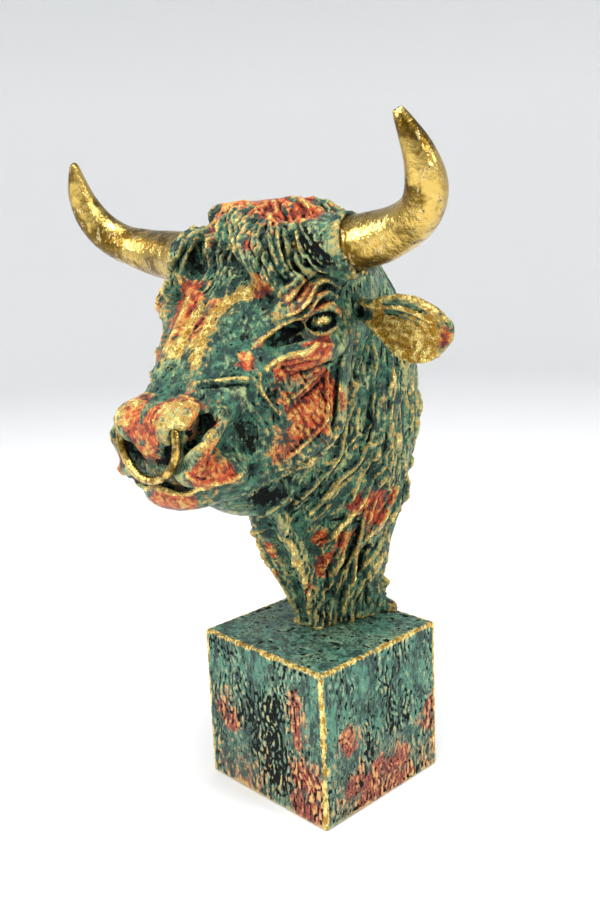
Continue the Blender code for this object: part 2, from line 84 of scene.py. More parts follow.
def look_from(place, yaw, pitch, roll):
    """A camera's matrix: yaw is measured from +Y towards -X."""
    forward = Vector((-math.sin(yaw) * math.cos(pitch), math.cos(yaw) * math.cos(pitch), math.sin(pitch)))
    level = Vector((math.cos(yaw), math.sin(yaw), 0))
    over = level.cross(forward)
    right = level * math.cos(roll) + over * math.sin(roll)
    up = over * math.cos(roll) - level * math.sin(roll)
    turn = Matrix((right, up, -forward)).transposed().to_4x4()
    return Matrix.Translation(place) @ turn


def placed(name, data):
    """A new object in the scene."""
    made = bpy.data.objects.new(name, data)
    bpy.context.collection.objects.link(made)
    return made


camera = placed("camera", bpy.data.cameras.new("camera"))
camera.matrix_world = look_from(CAMERA_PLACE, CAMERA_YAW, CAMERA_PITCH, CAMERA_ROLL)
camera.data.lens = CAMERA_LENS
camera.data.sensor_width = CAMERA_FILM
camera.data.clip_start = CAMERA_NEAREST
camera.data.clip_end = CAMERA_FARTHEST
bpy.context.scene.camera = camera


def bowl(name):
    """A flat disc whose rim sweeps up into a wall."""
    work = bmesh.new()
    profile = [(FLOOR_RADIUS * k / FLOOR_RINGS, 0) for k in range(1, FLOOR_RINGS + 1)]
    for k in range(1, BEND_RINGS + 1):
        slope = math.radians(90 * k / BEND_RINGS)
        profile.append((FLOOR_RADIUS + FLOOR_BEND * math.sin(slope), FLOOR_BEND * (1 - math.cos(slope))))
    profile.append((FLOOR_RADIUS + FLOOR_BEND, WALL_TOP))
    rings = []
    for radius, height in profile:
        ring = []
        for k in range(FLOOR_SIDES):
            angle = 2 * math.pi * k / FLOOR_SIDES
            ring.append(work.verts.new((radius * math.cos(angle), radius * math.sin(angle), height)))
        rings.append(ring)
    work.faces.new(rings[0])
    for low, high in zip(rings, rings[1:]):
        for k in range(FLOOR_SIDES):
            n = (k + 1) % FLOOR_SIDES
            work.faces.new((low[k], high[k], high[n], low[n]))
    mesh = bpy.data.meshes.new(name)
    work.to_mesh(mesh)
    work.free()
    mesh.shade_smooth()
    return placed(name, mesh)


def floor_finish():
    """Pale paint that goes over into the wall's greyer colour between the two heights of WALL_FADE: painted
    shade that darkens the backdrop towards the top.
    """
    made = bpy.data.materials.new("pale_floor")
    made.use_nodes = True
    tree = made.node_tree
    shader = tree.nodes["Principled BSDF"]
    shader.inputs["Base Color"].default_value = (*FLOOR_COLOUR, 1)
    shader.inputs["Roughness"].default_value = FLOOR_ROUGHNESS
    place = tree.nodes.new("ShaderNodeTexCoord")
    split = tree.nodes.new("ShaderNodeSeparateXYZ")
    rise = tree.nodes.new("ShaderNodeMapRange")
    rise.inputs["From Min"].default_value, rise.inputs["From Max"].default_value = WALL_FADE
    mixed = tree.nodes.new("ShaderNodeMix")
    mixed.data_type = "RGBA"
    mixed.inputs[MIX_UNDER].default_value = (*FLOOR_COLOUR, 1)
    mixed.inputs[MIX_OVER].default_value = (*SHADED_WALL_COLOUR, 1)
    tree.links.new(place.outputs["Object"], split.inputs[0])
    tree.links.new(split.outputs["Z"], rise.inputs["Value"])
    tree.links.new(rise.outputs["Result"], mixed.inputs["Factor"])
    tree.links.new(mixed.outputs[MIX_RESULT], shader.inputs["Base Color"])
    return made


floor = bowl("floor")
floor.data.materials.append(floor_finish())

for name, (place, aim, size, watts) in LAMPS.items():
    lamp = bpy.data.lights.new(name, "AREA")
    lamp.shape = "SQUARE"
    lamp.size = size
    lamp.energy = watts
    holder = placed(name, lamp)
    holder.location = place
    holder.rotation_euler = (Vector(aim) - Vector(place)).to_track_quat("-Z", "Y").to_euler()

world = bpy.data.worlds.new("studio_air")
world.use_nodes = True
air = world.node_tree.nodes["Background"]
air.inputs["Color"].default_value = (*AIR_COLOUR, 1)
air.inputs["Strength"].default_value = AIR_STRENGTH
bpy.context.scene.world = world
# the picture keeps the paint's own strong colours
bpy.context.scene.view_settings.view_transform = "Standard"

# Head and neck: one casting of plaster or resin, modelled in clay with a wire tool and a comb. It is painted
# black and sea green, patched with copper red, and rubbed with gold leaf on every ridge.

MM = 0.001
PLINTH_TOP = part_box("plinth")[1].z
# the head is turned and tilted on the neck, growing from one height to another, in millimetres
HEAD_TURN = math.radians(4.1)
HEAD_TILT = math.radians(-2.0)
TURN_FROM = 45
TURN_TO = 110
TILT_PIVOT = 123
FOOT_SHIFT = -3
# the skin: its squares, its triangles at the end, and the strip at the foot that stays sharp
SKIN_VOXEL = 0.00078
SKIN_TRIANGLES = 190000
FOOT_STRIP = 1.2 * MM
FIRST_SOFTENING = 6
LAST_SOFTENING = 1
MERGE_GAP = 1e-6
# a stroke lies on both sides of the bust, mirrored, or only where it is drawn
BOTH = (1, -1)
AS_DRAWN = (1,)
CURVE_STEPS = 4
STROKE_FADE = 0.25
PAINT_FADE = 0.15
# the left eye, and the whorl that the hair of the poll grows from
EYE_CENTRE = Vector((42.6, -39.6, 152.6))
EYE_RADIUS = 4.3
EYE_GAZE = Vector((0.78, -0.62, 0.05)).normalized()
EYE_UP = EYE_GAZE.cross(Vector((0.62, 0.77, 0.15))).normalized()
EYE_ALONG = EYE_UP.cross(EYE_GAZE)
CROWN = Vector((0, -14, 206))


def on_bust(point):
    """In metres, a point given in millimetres over the plinth, as it was before the head was turned."""
    x, y, z = point
    share = min(max((z - TURN_FROM) / (TURN_TO - TURN_FROM), 0), 1)
    share = share * share * (3 - 2 * share)
    tilt, turn = share * HEAD_TILT, share * HEAD_TURN
    z = z - TILT_PIVOT
    x, z = math.cos(tilt) * x + math.sin(tilt) * z, math.cos(tilt) * z - math.sin(tilt) * x
    x, y = math.cos(turn) * x - math.sin(turn) * y, math.sin(turn) * x + math.cos(turn) * y
    x += (1 - share) * FOOT_SHIFT
    return Vector((x * MM, y * MM, (z + TILT_PIVOT) * MM + PLINTH_TOP))


def flipped(point, side):
    return side * point[0], point[1], point[2]


def smooth_line(points):
    """A Catmull-Rom curve through points."""
    knots = [np.array(p, float) for p in points]
    knots = [2 * knots[0] - knots[1]] + knots + [2 * knots[-1] - knots[-2]]
    line = []
    for a, b, c, d in zip(knots, knots[1:], knots[2:], knots[3:]):
        for k in range(CURVE_STEPS):
            t = k / CURVE_STEPS
            bend = 2 * a - 5 * b + 4 * c - d
            twist = 3 * b - a - 3 * c + d
            line.append(0.5 * (2 * b + (c - a) * t + bend * t**2 + twist * t**3))
    line.append(knots[-2])
    return line


def bust_line(points, side):
    return smooth_line([on_bust(flipped(p, side)) for p in points])


def read_points(mesh, attribute):
    flat = np.empty(len(mesh.vertices) * 3)
    mesh.vertices.foreach_get(attribute, flat)
    return flat.reshape(-1, 3)


def move_points(mesh, places):
    mesh.vertices.foreach_set("co", places.ravel())
    mesh.update()


class Skin:
    """A skin with its points, its normals, and which of them are neighbours."""

    def __init__(self, mesh):
        self.mesh = mesh
        self.points = read_points(mesh, "co")
        self.normals = read_points(mesh, "normal")
        ends = np.empty(len(mesh.edges) * 2, int)
        mesh.edges.foreach_get("vertices", ends)
        self.ends = ends.reshape(-1, 2)
        self.count = np.bincount(ends, minlength=len(self.points))
        self.tree = BVHTree.FromPolygons(self.points.tolist(), [list(p.vertices) for p in mesh.polygons])
        self.lift = np.zeros(len(self.points))

    def blur(self, values, times):
        """Values averaged with their neighbours', times over."""
        a, b = self.ends.T
        for _ in range(times):
            total = np.bincount(a, values[b], len(values)) + np.bincount(b, values[a], len(values))
            values = 0.5 * values + 0.5 * total / self.count
        return values

    def level(self, times):
        """The skin's points, blurred times over."""
        return np.stack([self.blur(axis, times) for axis in self.points.T], axis=1)

    def relief(self, reach):
        """How far each point stands out of the skin around it, in millimetres."""
        return ((self.points - self.level(reach)) * self.normals).sum(axis=1) / MM

    def near_line(self, path, width, fade):
        """The points within width of a path laid on the skin, and how strongly a stroke takes there."""
        found = [self.tree.find_nearest(Vector(p)) for p in path]
        line = np.array([hit[0] for hit in found])
        facing = np.array([hit[1] for hit in found])
        low, high = line.min(axis=0) - width, line.max(axis=0) + width
        near = np.nonzero(((self.points > low) & (self.points < high)).all(axis=1))[0]
        gap = np.full(len(near), np.inf)
        share = np.zeros(len(near))
        knot = np.zeros(len(near), int)
        for k in range(len(line) - 1):
            span = line[k + 1] - line[k]
            t = np.clip((self.points[near] - line[k]) @ span / max(span @ span, 1e-12), 0, 1)
            away = np.linalg.norm(self.points[near] - line[k] - t[:, None] * span, axis=1)
            closer = away < gap
            gap[closer] = away[closer]
            share[closer] = (k + t[closer]) / (len(line) - 1)
            knot[closer] = k
        fall = np.clip(1 - (gap / width) ** 2, 0, None) ** 2
        ends = np.clip(share / fade, 0, 1) * np.clip((1 - share) / fade, 0, 1)
        agrees = np.clip(2 * (self.normals[near] * facing[knot]).sum(axis=1), 0, 1)
        return near, fall * ends * agrees

    def stroke(self, points, width, height, sides=BOTH, fade=STROKE_FADE):
        """Raises the skin by height within width of the path, or sinks it, in millimetres."""
        for side in sides:
            near, strength = self.near_line(bust_line(points, side), width * MM, fade)
            self.lift[near] += height * MM * strength

    def lay(self, layer, path, width, strength):
        """Lays colour along a path that is in metres, at most strength, in a layer."""
        near, amount = self.near_line(path, width * MM, PAINT_FADE)
        layer[near] = np.maximum(layer[near], strength * amount)

    def paint(self, layer, points, width, strength, sides=BOTH):
        for side in sides:
            self.lay(layer, bust_line(points, side), width, strength)

    def finish(self):
        """Moves the skin as its strokes say."""
        move_points(self.mesh, self.points + self.normals * self.lift[:, None])


# numbers that scramble the place of a lattice's corner until it looks like chance
SCRAMBLE = (73856093, 19349663, 83492791)
SCRAMBLE_SEED = 2654435761
SCRAMBLE_AGAIN = ((15, 2246822519), (13, 3266489917))
LAST_SHIFT = 16
LOW_BITS = 0xFFFFFFFF


def lattice_noise(points, size, seed):
    """Smooth noise from 0 to 1, whose lumps are size millimetres across, one number or three."""
    place = points / (np.asarray(size) * MM)
    cell = np.floor(place).astype(np.int64)
    inside = place - cell
    inside = inside * inside * (3 - 2 * inside)
    total = np.zeros(len(points))
    for corner in range(8):
        step = np.array([corner & 1, corner >> 1 & 1, corner >> 2 & 1])
        x, y, z = ((cell + step) * SCRAMBLE).T
        mixed = (x ^ y ^ z ^ seed * SCRAMBLE_SEED) & LOW_BITS
        for shift, factor in SCRAMBLE_AGAIN:
            mixed = ((mixed ^ (mixed >> shift)) * factor) & LOW_BITS
        share = np.prod(np.where(step, inside, 1 - inside), axis=1)
        total += share * ((mixed ^ (mixed >> LAST_SHIFT)) / LOW_BITS)
    return total


def merged_copy(node, name):
    """A copy of a CAD node's mesh, with its loose triangles joined, as a new object."""
    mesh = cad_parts[node].data.copy()
    mesh.name = name
    mesh.materials.clear()
    work = bmesh.new()
    work.from_mesh(mesh)
    bmesh.ops.remove_doubles(work, verts=work.verts, dist=MERGE_GAP)
    work.to_mesh(mesh)
    work.free()
    return placed(name, mesh)


def shown_mesh(obj):
    """A new mesh of an object as its modifiers or its curve make it."""
    bpy.context.view_layer.update()
    return bpy.data.meshes.new_from_object(obj.evaluated_get(bpy.context.evaluated_depsgraph_get()))


def apply_all(obj):
    mesh = shown_mesh(obj)
    obj.modifiers.clear()
    obj.data = mesh


def remesh(obj, voxel):
    even = obj.modifiers.new("even", "REMESH")
    even.mode = "VOXEL"
    even.voxel_size = voxel
    apply_all(obj)


def soften(obj, times):
    """Blurs the skin, but not the strip at the foot, which meets the plinth."""
    skin = Skin(obj.data)
    soft = skin.level(times)
    foot = skin.points[:, 2] < PLINTH_TOP + FOOT_STRIP
    soft[foot] = skin.points[foot]
    move_points(obj.data, soft)


def around_eye(bearing, along, up, out):
    """A point beside the left eye: bearing 0 is its back corner, 90 is over it, and out is its gaze."""
    angle = math.radians(bearing)
    across = EYE_ALONG * (along * math.cos(angle)) + EYE_UP * (up * math.sin(angle))
    return EYE_CENTRE + across + EYE_GAZE * out


def clay_roll(work, path, radii):
    """Lays a tapering roll of clay along a path of the bust, into a mesh in work."""
    line = bpy.data.curves.new("roll", "CURVE")
    line.dimensions = "3D"
    line.bevel_depth = MM
    line.bevel_resolution = 3
    line.use_fill_caps = True
    spline = line.splines.new("POLY")
    spline.points.add(len(path) - 1)
    for knot, place, radius in zip(spline.points, path, radii):
        knot.co = (*on_bust(place), 1)
        knot.radius = radius
    holder = placed("roll", line)
    work.from_mesh(shown_mesh(holder))
    bpy.data.objects.remove(holder)


head = merged_copy("head_and_neck", "head_skin")
remesh(head, SKIN_VOXEL)
soften(head, FIRST_SOFTENING)

# lines that are carved and then painted too
NOSE_STREAK = ((27.5, -54.9, 168.5), (18, -53, 166.4), (10.2, -54.8, 163.4), (5.7, -59.3, 159),
    (4.4, -64.8, 153.5), (6.5, -71.2, 147.2), (8.1, -77.1, 140.9), (10.2, -81.9, 134.7))
BROW_EDGE = ((27.7, -65.1, 144), (31, -59, 148.5), (36, -54.5, 152), (41.5, -50, 154.5), (45, -47, 157))
UPPER_FOLD = ((32.5, -57.4, 155.1), (39.7, -52.3, 156.2), (43.7, -49.8, 158.9), (46.1, -47.6, 162.4),
    (46, -44.5, 166.5), (47.8, -40.9, 168.6), (48.5, -35.5, 166), (44, -26, 161))
CHEEK_CREST = ((32.4, -64.4, 134.9), (36.4, -59.4, 138.9), (40.9, -55.2, 140.8), (44, -50.7, 141),
    (45, -45.8, 143.2), (46.7, -39.6, 142.5), (47.2, -33.8, 140.9))
FRONT_VEIN = ((10.7, -83.4, 131.7), (18, -78.5, 132.9), (26.3, -71.9, 133.3), (31.7, -65.5, 132.1))
LOW_VEIN = ((32.1, -63.9, 136.1), (30.8, -65.1, 129.8), (30.5, -60.6, 122.7), (32.3, -55.3, 115.3))
BACK_VEIN = ((32.9, -55.5, 119.8), (35.6, -48.4, 124.3), (37.2, -41.5, 128.8), (38.3, -30.4, 132.9))
JAW_EDGE = ((44, -23, 159), (42, -21, 147), (39, -21, 123), (37, -24, 109), (35, -28, 99), (33, -39, 95),
    (30, -48, 94), (24, -58, 89))
JAW_GROOVE = ((46, -18, 158), (43, -15, 146), (40, -14, 122), (38, -17, 106), (35, -26, 94))
THROAT_CORD = ((-5.6, -26.8, 54.5), (6, -26.6, 53.4), (12.4, -26.3, 51), (11.8, -22.1, 43.1),
    (11.1, -18.6, 35.4), (10, -15.4, 28.6), (7.4, -11, 17.3), (4.5, -7.2, 3.2))
LONG_GROOVE = ((23.4, 9.5, 55), (19.4, 10, 44.7), (15, 9, 34.6), (12, 5.5, 27.8), (10.4, 2, 22))
SIDE_GROOVE = ((21.8, 18.3, 41.4), (17.4, 16.7, 35.8), (15.4, 15.8, 27.9), (15.1, 14.2, 22))
NAPE_GROOVE = ((34, 20, 93), (33.5, 22, 85), (32.5, 22, 77), (31, 23.5, 70))
NOSTRIL = ((20, -86, 121), (20.5, -87, 117), (19.5, -91, 112.5), (18, -95, 109.5), (14, -98, 109))

# hollows cut first, round each eyeball, into the nostrils and under the pad, with the rims beside them:
# path, width, height, and the share of its length over which a stroke sets in and dies out
HOLLOW_STROKES = (
    ([around_eye(b, 6.0, 4.6, 4) for b in range(0, 361, 30)], 3.6, -4.0, 0.01),
    (NOSTRIL, 3.0, -4.5, 0.1),
    (((16, -97, 110), (11, -98, 108), (8, -96.5, 104.5)), 2.4, -2.2, STROKE_FADE),
    (((3, -89, 127), (10, -88, 127.5), (17, -87, 126)), 3.2, 1.4, 0.15),
    (((15.5, -87, 126), (20, -90, 123), (20.5, -95, 119), (18, -99, 116)), 2.6, 1.8, STROKE_FADE),
    (((22, -85, 119), (27.5, -90, 115), (26.5, -95, 110), (20, -96, 106), (15.5, -95.5, 103)), 2.2, 1.8,
      STROKE_FADE),
    (((-14, -92, 90.5), (0, -94, 92), (11, -93, 91.5), (24, -93, 92.5), (28, -87, 92.5), (29, -78, 92)),
      2.6, -2.2, 0.03),
)
skin = Skin(head.data)
for path, width, height, fade in HOLLOW_STROKES:
    skin.stroke(path, width, height, fade=fade)
skin.finish()

# eyeballs and lids, pressed on in clay and smoothed in. For each lid: half its length, its rise, its
# thickness, and the bearing of each knot with how far out it lies
LIDS = (
    (7.8, 4.9, 1.7, ((190, 3.0), (150, 4.4), (110, 5.0), (70, 5.0), (30, 4.0), (-10, 2.6))),
    (7.4, 5.0, 0.95, ((190, 2.6), (230, 3.4), (270, 3.8), (310, 3.2), (350, 2.4))),
)
LID_CORNER = 0.5
LID_TAPER = 0.6
work = bmesh.new()
work.from_mesh(head.data)
for side in BOTH:
    ball = Matrix.Translation(on_bust(flipped(EYE_CENTRE, side)))
    bmesh.ops.create_icosphere(work, subdivisions=4, radius=EYE_RADIUS * MM, matrix=ball)
    for along, up, thick, knots in LIDS:
        path = smooth_line([flipped(around_eye(b, along, up, out), side) for b, out in knots])
        shares = np.linspace(0, 1, len(path))
        clay_roll(work, path, LID_CORNER + (thick - LID_CORNER) * np.sin(np.pi * shares) ** LID_TAPER)
work.to_mesh(head.data)
work.free()
remesh(head, SKIN_VOXEL)
soften(head, LAST_SOFTENING)

# wrinkles of the brow and lids, and the ridges and creases of the face: path, width, height
FACE_STROKES = (
    # edge of the brow over the wedge of shadow in front of the eye
    (BROW_EDGE, 1.7, 1.5),
    (((31, -58, 146), (34, -54, 147.8), (38, -50, 150), (42.3, -46.5, 152.5)), 1.8, -1.6),
    # folds arched over the eye, with gaps between
    (UPPER_FOLD, 1.7, 1.8),
    (((37, -54, 154.3), (42, -50, 156.6), (45.3, -47.6, 160.3), (46.2, -45, 164.2), (48, -39.5, 165.8),
      (47, -32, 163)), 1.4, -1.8),
    (((39.4, -50.4, 153.5), (44.6, -47.4, 157.7), (46.6, -45.5, 161.6), (47.6, -41, 163.4),
      (47.8, -35.5, 162), (44, -28, 158)), 1.4, 1.4),
    (((45, -46.1, 157), (47, -43.8, 160), (48.5, -40, 160.8), (47, -33, 159)), 1.3, -1.5),
    (((34, -55, 158.3), (40, -52, 161.5), (43.3, -49, 166), (46, -44.8, 170), (49.5, -40, 170.5)), 1.5, -1.6),
    (((30.6, -53, 161.5), (35.4, -53.3, 165.3), (39.4, -50.8, 168), (41.2, -48.1, 170.8), (44.9, -45.2, 173),
      (49.2, -42, 172.5), (51, -37, 169.8)), 1.6, 1.5),
    (((27, -54, 165), (32, -53.5, 170), (37, -50.5, 172.5), (41, -47, 174.6)), 1.5, -1.3),
    # under the eye: small shadow, bag, and the crest of the cheek with the crease under it
    (((34, -54, 144), (37, -50.8, 146), (39.5, -48, 147.2)), 1.5, -1.4),
    (((31, -60, 141), (36, -55, 143.5), (41, -50, 144.5), (44.5, -44, 145)), 1.8, 0.8),
    (CHEEK_CREST, 1.8, 1.5),
    (((34, -60, 134.5), (38, -54, 136), (42, -48, 137.5), (44, -41, 138)), 1.8, -0.9),
    (((35.8, -53.8, 132.5), (37.6, -44.3, 132.3), (39.3, -38, 134.1), (39.5, -31, 134.6),
      (43, -29, 137)), 1.6, -1.4),
    # veins of the cheek
    (FRONT_VEIN, 1.3, 1.0),
    (((12, -83, 129.5), (19, -78, 130.4), (26, -71.5, 130.6), (30, -66, 129.5)), 1.6, -1.3),
    (LOW_VEIN, 1.4, 1.3),
    (BACK_VEIN, 1.5, 1.2),
    (((33, -53, 117), (36, -46, 121.5), (38, -38, 125.5), (39, -29, 129)), 1.6, -1.2),
    # edge of the jaw, doubled
    (JAW_EDGE, 1.6, 2.0),
    (((41, -27, 150), (39, -27, 128), (37, -30, 110), (33, -38, 99), (28, -50, 95),
      (22, -62, 90)), 1.5, -2.2),
    (((40, -32, 146), (38, -32, 126), (36, -36, 110), (31, -45, 100), (25, -57, 95)), 1.5, 1.5),
    (JAW_GROOVE, 1.9, -2.2),
    (((20.6, -18.4, 87.9), (23.4, -13.1, 87.1), (24.9, -10, 91.1), (25.8, -8.7, 97.7), (26.8, -7.3, 104.2),
      (29.7, -6.5, 111), (30.2, -3.7, 113.9)), 1.6, 1.6),
    # raised streaks down the nose
    (NOSE_STREAK, 3.0, 1.3),
    (((18, -55, 162), (12, -60, 157), (10.5, -66, 151), (12, -72, 145), (14, -78, 138)), 2.8, -0.9),
    # lips, and the lobe over the mouth
    (((15.9, -95.9, 101.9), (22.5, -96, 97.4), (27.3, -91.2, 95.2), (28.9, -83.3, 94), (29.9, -76.3, 96.5),
      (27.3, -75, 100.4)), 1.5, 1.1),
    (((-12, -92, 88), (0, -93, 89.5), (11, -92, 89), (22, -92, 89.5), (27, -86, 89.5)), 1.6, 1.2),
    (((26, -74, 109), (29.5, -74, 101), (28.5, -71, 94), (25, -70, 89)), 1.8, -1.5),
)

# cord of the throat, then folds and grooves of the neck from front to back
NECK_STROKES = (
    (THROAT_CORD, 1.9, 2.2),
    (((13, -30, 75), (18, -39, 74), (16, -46, 69), (12, -50, 67)), 1.6, 1.4),
    (((28.6, -2.5, 99.6), (27.3, -5.2, 94.9), (26.2, -7.2, 90.7), (27.5, -4.3, 87)), 1.8, 1.5),
    (((31.4, 6.7, 99.3), (30.1, 4.7, 93.9), (29, 1.8, 89.2), (28.3, -0.5, 84.5), (25.7, -4.9, 81.1),
      (23, -11.4, 75.2), (17, -14.1, 66.2), (13.3, -16.5, 61.3), (10.4, -19, 57.2)), 1.8, 2.0),
    (((32, 3, 90), (29, -2, 81), (25.5, -8, 75), (20, -11.5, 67), (15, -13.5, 60)), 1.7, -1.7),
    (((29.2, 4.1, 80.8), (27.7, 1.7, 77.6), (26.4, 1.1, 73), (25.1, 0.6, 67.6), (24.5, -0.1, 63)), 2.0, 1.5),
    (((32.2, 8.5, 80.2), (29.6, 8.7, 74.7), (27.9, 6.7, 69.6), (25.9, 5.2, 64.3), (24.3, 0.5, 59.2),
      (20, -3, 52.6), (14.6, -5, 46.5), (8.3, -9.7, 42.1)), 1.8, 1.9),
    (((30, 6, 64), (27, 4.5, 58), (22, -0.5, 51), (17, -3.5, 44), (11, -8, 38)), 1.8, -1.8),
    (((25.7, 9.4, 57.9), (21.9, 11.3, 49.4), (18.5, 13, 41.4), (13.8, 11.5, 31.9), (11.4, 6.8, 25.7),
      (9.3, 3.5, 19.8), (7.7, 1.3, 13.6)), 1.8, 1.9),
    (LONG_GROOVE, 1.9, -1.9),
    (SIDE_GROOVE, 1.9, -2.2),
    (((10.9, 0.6, 32.4), (9, 0.6, 25.6), (7.5, 0.1, 17)), 1.7, -1.7),
    (((32.9, 14, 94.1), (33, 17.1, 86.6), (32.4, 16.7, 78.6), (31.4, 17.7, 71.2),
      (29, 24.8, 64.6)), 2.0, 1.8),
    (NAPE_GROOVE, 2.2, -2.0),
    (((29.7, 33.9, 88.4), (31, 28.4, 83.1), (28.8, 32.8, 74.8), (27.6, 33.8, 68.4)), 2.0, 1.6),
    (((18, 20, 24), (18, 22, 16), (17, 22, 8)), 1.7, 1.3),
    (((11, 8, 18), (12, 10, 12), (12, 9, 6)), 1.7, -1.5),
)

# ears: a turned rim and long folds inside
EAR_STROKES = (
    (((44, -18, 157), (54, -19, 156.5), (66, -19, 155), (75, -15, 151), (81, -10, 144)), 1.8, 1.5),
    (((50, -17, 152), (60, -16, 151), (69, -14, 148), (75, -11.5, 143)), 1.7, -1.0),
    (((48, -16, 148), (56, -14.6, 147), (65, -13.4, 144), (72, -11.7, 140)), 1.6, 1.2),
    (((50, -15, 144), (60, -13.5, 141), (69, -12, 137)), 1.6, -0.8),
    (((52, -14, 141), (60, -12.5, 136), (68, -11, 132.5), (77, -9, 134), (81, -8, 139)), 1.7, 1.3),
)

skin = Skin(head.data)
for path, width, height in FACE_STROKES + NECK_STROKES + EAR_STROKES:
    skin.stroke(path, width, height)

# how many locks, strands, marks and dabs follow, and how wide and how waved they are, in millimetres
LOCKS = 300
LOCK_KNOTS = 6
LOCK_WIDTHS = (1.3, 1.7)
FRINGE_LOCKS = 130
BROW_LOCKS = 46
NECK_STRANDS = 330
NAPE_STRANDS = 110
CHEEK_STRANDS = 130
STRAND_WIDTHS = (1.4, 2.1)
STRAND_WAVES = (0.8, 1.8)
BRUSH_MARKS = 90
FINE_WIDTH = 1.3
FILLER_DABS = 44
chance = np.random.default_rng(7)
draw = chance.uniform


def strand(start, way, length, wave, knots=4):
    """A waved path from start, in millimetres of the bust."""
    way = Vector(way).normalized()
    aside = way.cross(Vector((0.3, 0.2, 1))).normalized()
    phase = draw(0, 6.28)
    points = []
    for k in range(knots):
        s = k / (knots - 1)
        points.append(Vector(start) + way * (length * s) + aside * (wave * math.sin(phase + 4 * s)))
    return points


# hair of the poll: waved locks that leave the crown on nearly all bearings
for k in range(LOCKS):
    bearing = math.radians(-160 + 320 * draw())
    across = Vector((math.cos(bearing), math.sin(bearing), 0))
    along = Vector((math.sin(bearing), -math.cos(bearing), 0))
    stretch = 1.3 * abs(along.x) + 0.8 * abs(along.y)
    start = 9 + 27 * draw()
    length = draw(9, 20)
    turn = draw(-1, 1)
    phase = draw(0, 6)
    lock = []
    for step in range(LOCK_KNOTS):
        s = start + length * step / (LOCK_KNOTS - 1)
        sway = 1.3 * math.sin(phase + s / 3) + turn * 3 * (step / (LOCK_KNOTS - 1)) ** 2
        lock.append(CROWN + along * (s * stretch) + across * sway - Vector((0, 0, 0.016 * s * s)))
    skin.stroke(lock, draw(*LOCK_WIDTHS), 1.0 if k % 2 else -0.95, AS_DRAWN, fade=0.2)

# fringe on the forehead, then the locks that sweep from it to each brow
for k in range(FRINGE_LOCKS):
    x = draw(-30, 44)
    top = Vector((x * 0.9, -44, 193 + draw(-4, 5)))
    end = Vector((x * 1.1 + draw(-4, 4), -52, 180 - 0.18 * abs(x) + draw(-6, 5)))
    middle = (top + end) / 2 + Vector((draw(-2.5, 2.5), -3, 0))
    skin.stroke((top, middle, end), draw(*LOCK_WIDTHS), 1.1 if k % 2 else -1.3, AS_DRAWN)
for k in range(BROW_LOCKS):
    share = k / (BROW_LOCKS - 1)
    top = Vector((20 + 26 * share, -56 + 11 * share, 184 - 3 * share + draw(-2, 2)))
    end = Vector((30 + 20 * share, -55 + 14 * share, 166 + 6 * share + draw(-2, 2)))
    middle = (top + end) / 2 + Vector((2.5 - 4 * share, -2, draw(-1.5, 1.5)))
    skin.stroke((top, middle, end), 1.4, 1.0 if k % 2 else -1.2, fade=0.2)

# hide of the neck: strands combed down and forward, upright behind the jaw
for k in range(NECK_STRANDS):
    z = draw(4, 165)
    back = draw()
    half = 12 + 0.22 * min(z, 110)
    front = -8 - 0.3 * min(z, 90) if z < 95 else -6
    start = Vector((half * (0.5 + 0.5 * math.sin(math.pi * back)), front + (50 - front) * back, z))
    lean = 0.9 * (1 - back) * min(z, 80) / 80 if z < 100 else 0.05
    way = (-0.25, -lean + draw(-0.15, 0.15), -1)
    path = strand(start, way, draw(9, 24), draw(*STRAND_WAVES), 5)
    height = draw(0.7, 1.3) * (1 if k % 2 else -1)
    # raised ones are laid twice, mostly once on each side, and sunk ones once, mostly on the bull's left
    first = 1 if k % 5 else -1
    second = -1 if k % 3 else 1
    skin.stroke(path, draw(*STRAND_WIDTHS), height, (first, second) if k % 2 else (first,))
for k in range(NAPE_STRANDS):
    z = draw(8, 185)
    start = Vector((draw(-0.7, 0.7) * (14 + 0.14 * z), 75, z))
    way = (draw(-0.15, 0.15), 0.1, -1)
    path = strand(start, way, draw(10, 24), draw(*STRAND_WAVES), 5)
    width = draw(*STRAND_WIDTHS)
    skin.stroke(path, width, draw(0.6, 1.1) * (1 if k % 2 else -1), AS_DRAWN)
for k in range(CHEEK_STRANDS):
    start = Vector((36, draw(-74, -28), draw(92, 140)))
    path = strand(start, (0, draw(0.3, 0.9), -1), draw(6, 12), 0.7)
    skin.stroke(path, FINE_WIDTH, chance.choice((0.4, -0.55)))
# brush and tool marks on the forehead and the nose
for k in range(BRUSH_MARKS):
    z = draw(128, 180)
    start = Vector((draw(-26, 26), -44 - 0.8 * (180 - z), z))
    path = strand(start, (draw(-0.3, 0.3), -0.7, -0.9), draw(5, 12), 0.5)
    skin.stroke(path, FINE_WIDTH, chance.choice((0.25, -0.4)), AS_DRAWN)
# filler squeezed out round the neck's foot
for k in range(FILLER_DABS):
    bearing = 2 * math.pi * k / FILLER_DABS
    start = Vector((20 * math.sin(bearing), 8 + 26 * math.cos(bearing), 1.6 + draw(-0.4, 0.8)))
    end = start + Vector((4 * math.cos(bearing), -4 * math.sin(bearing), draw(-0.5, 0.5)))
    skin.stroke((start, end), draw(1.6, 2.6), draw(0.3, 1.1), AS_DRAWN, fade=0.4)

# brush grain of the plaster, with the size of its lumps, height and seed, and then its pits
GRAINS = ((2.6, 0.16, 1), (1.3, 0.12, 2))
PIT_DEPTH = 2.6
grain = sum(height * (lattice_noise(skin.points, size, seed) - 0.5) for size, height, seed in GRAINS)
pits = np.clip(lattice_noise(skin.points, 3.2, 3) - 0.74, 0, None)
skin.lift += (grain - PIT_DEPTH * pits) * MM
skin.finish()

# every square of the remeshed skin counts as two triangles
thin = head.modifiers.new("fewer_faces", "DECIMATE")
thin.ratio = SKIN_TRIANGLES / (2 * len(head.data.polygons))
apply_all(head)
head.data.shade_smooth()

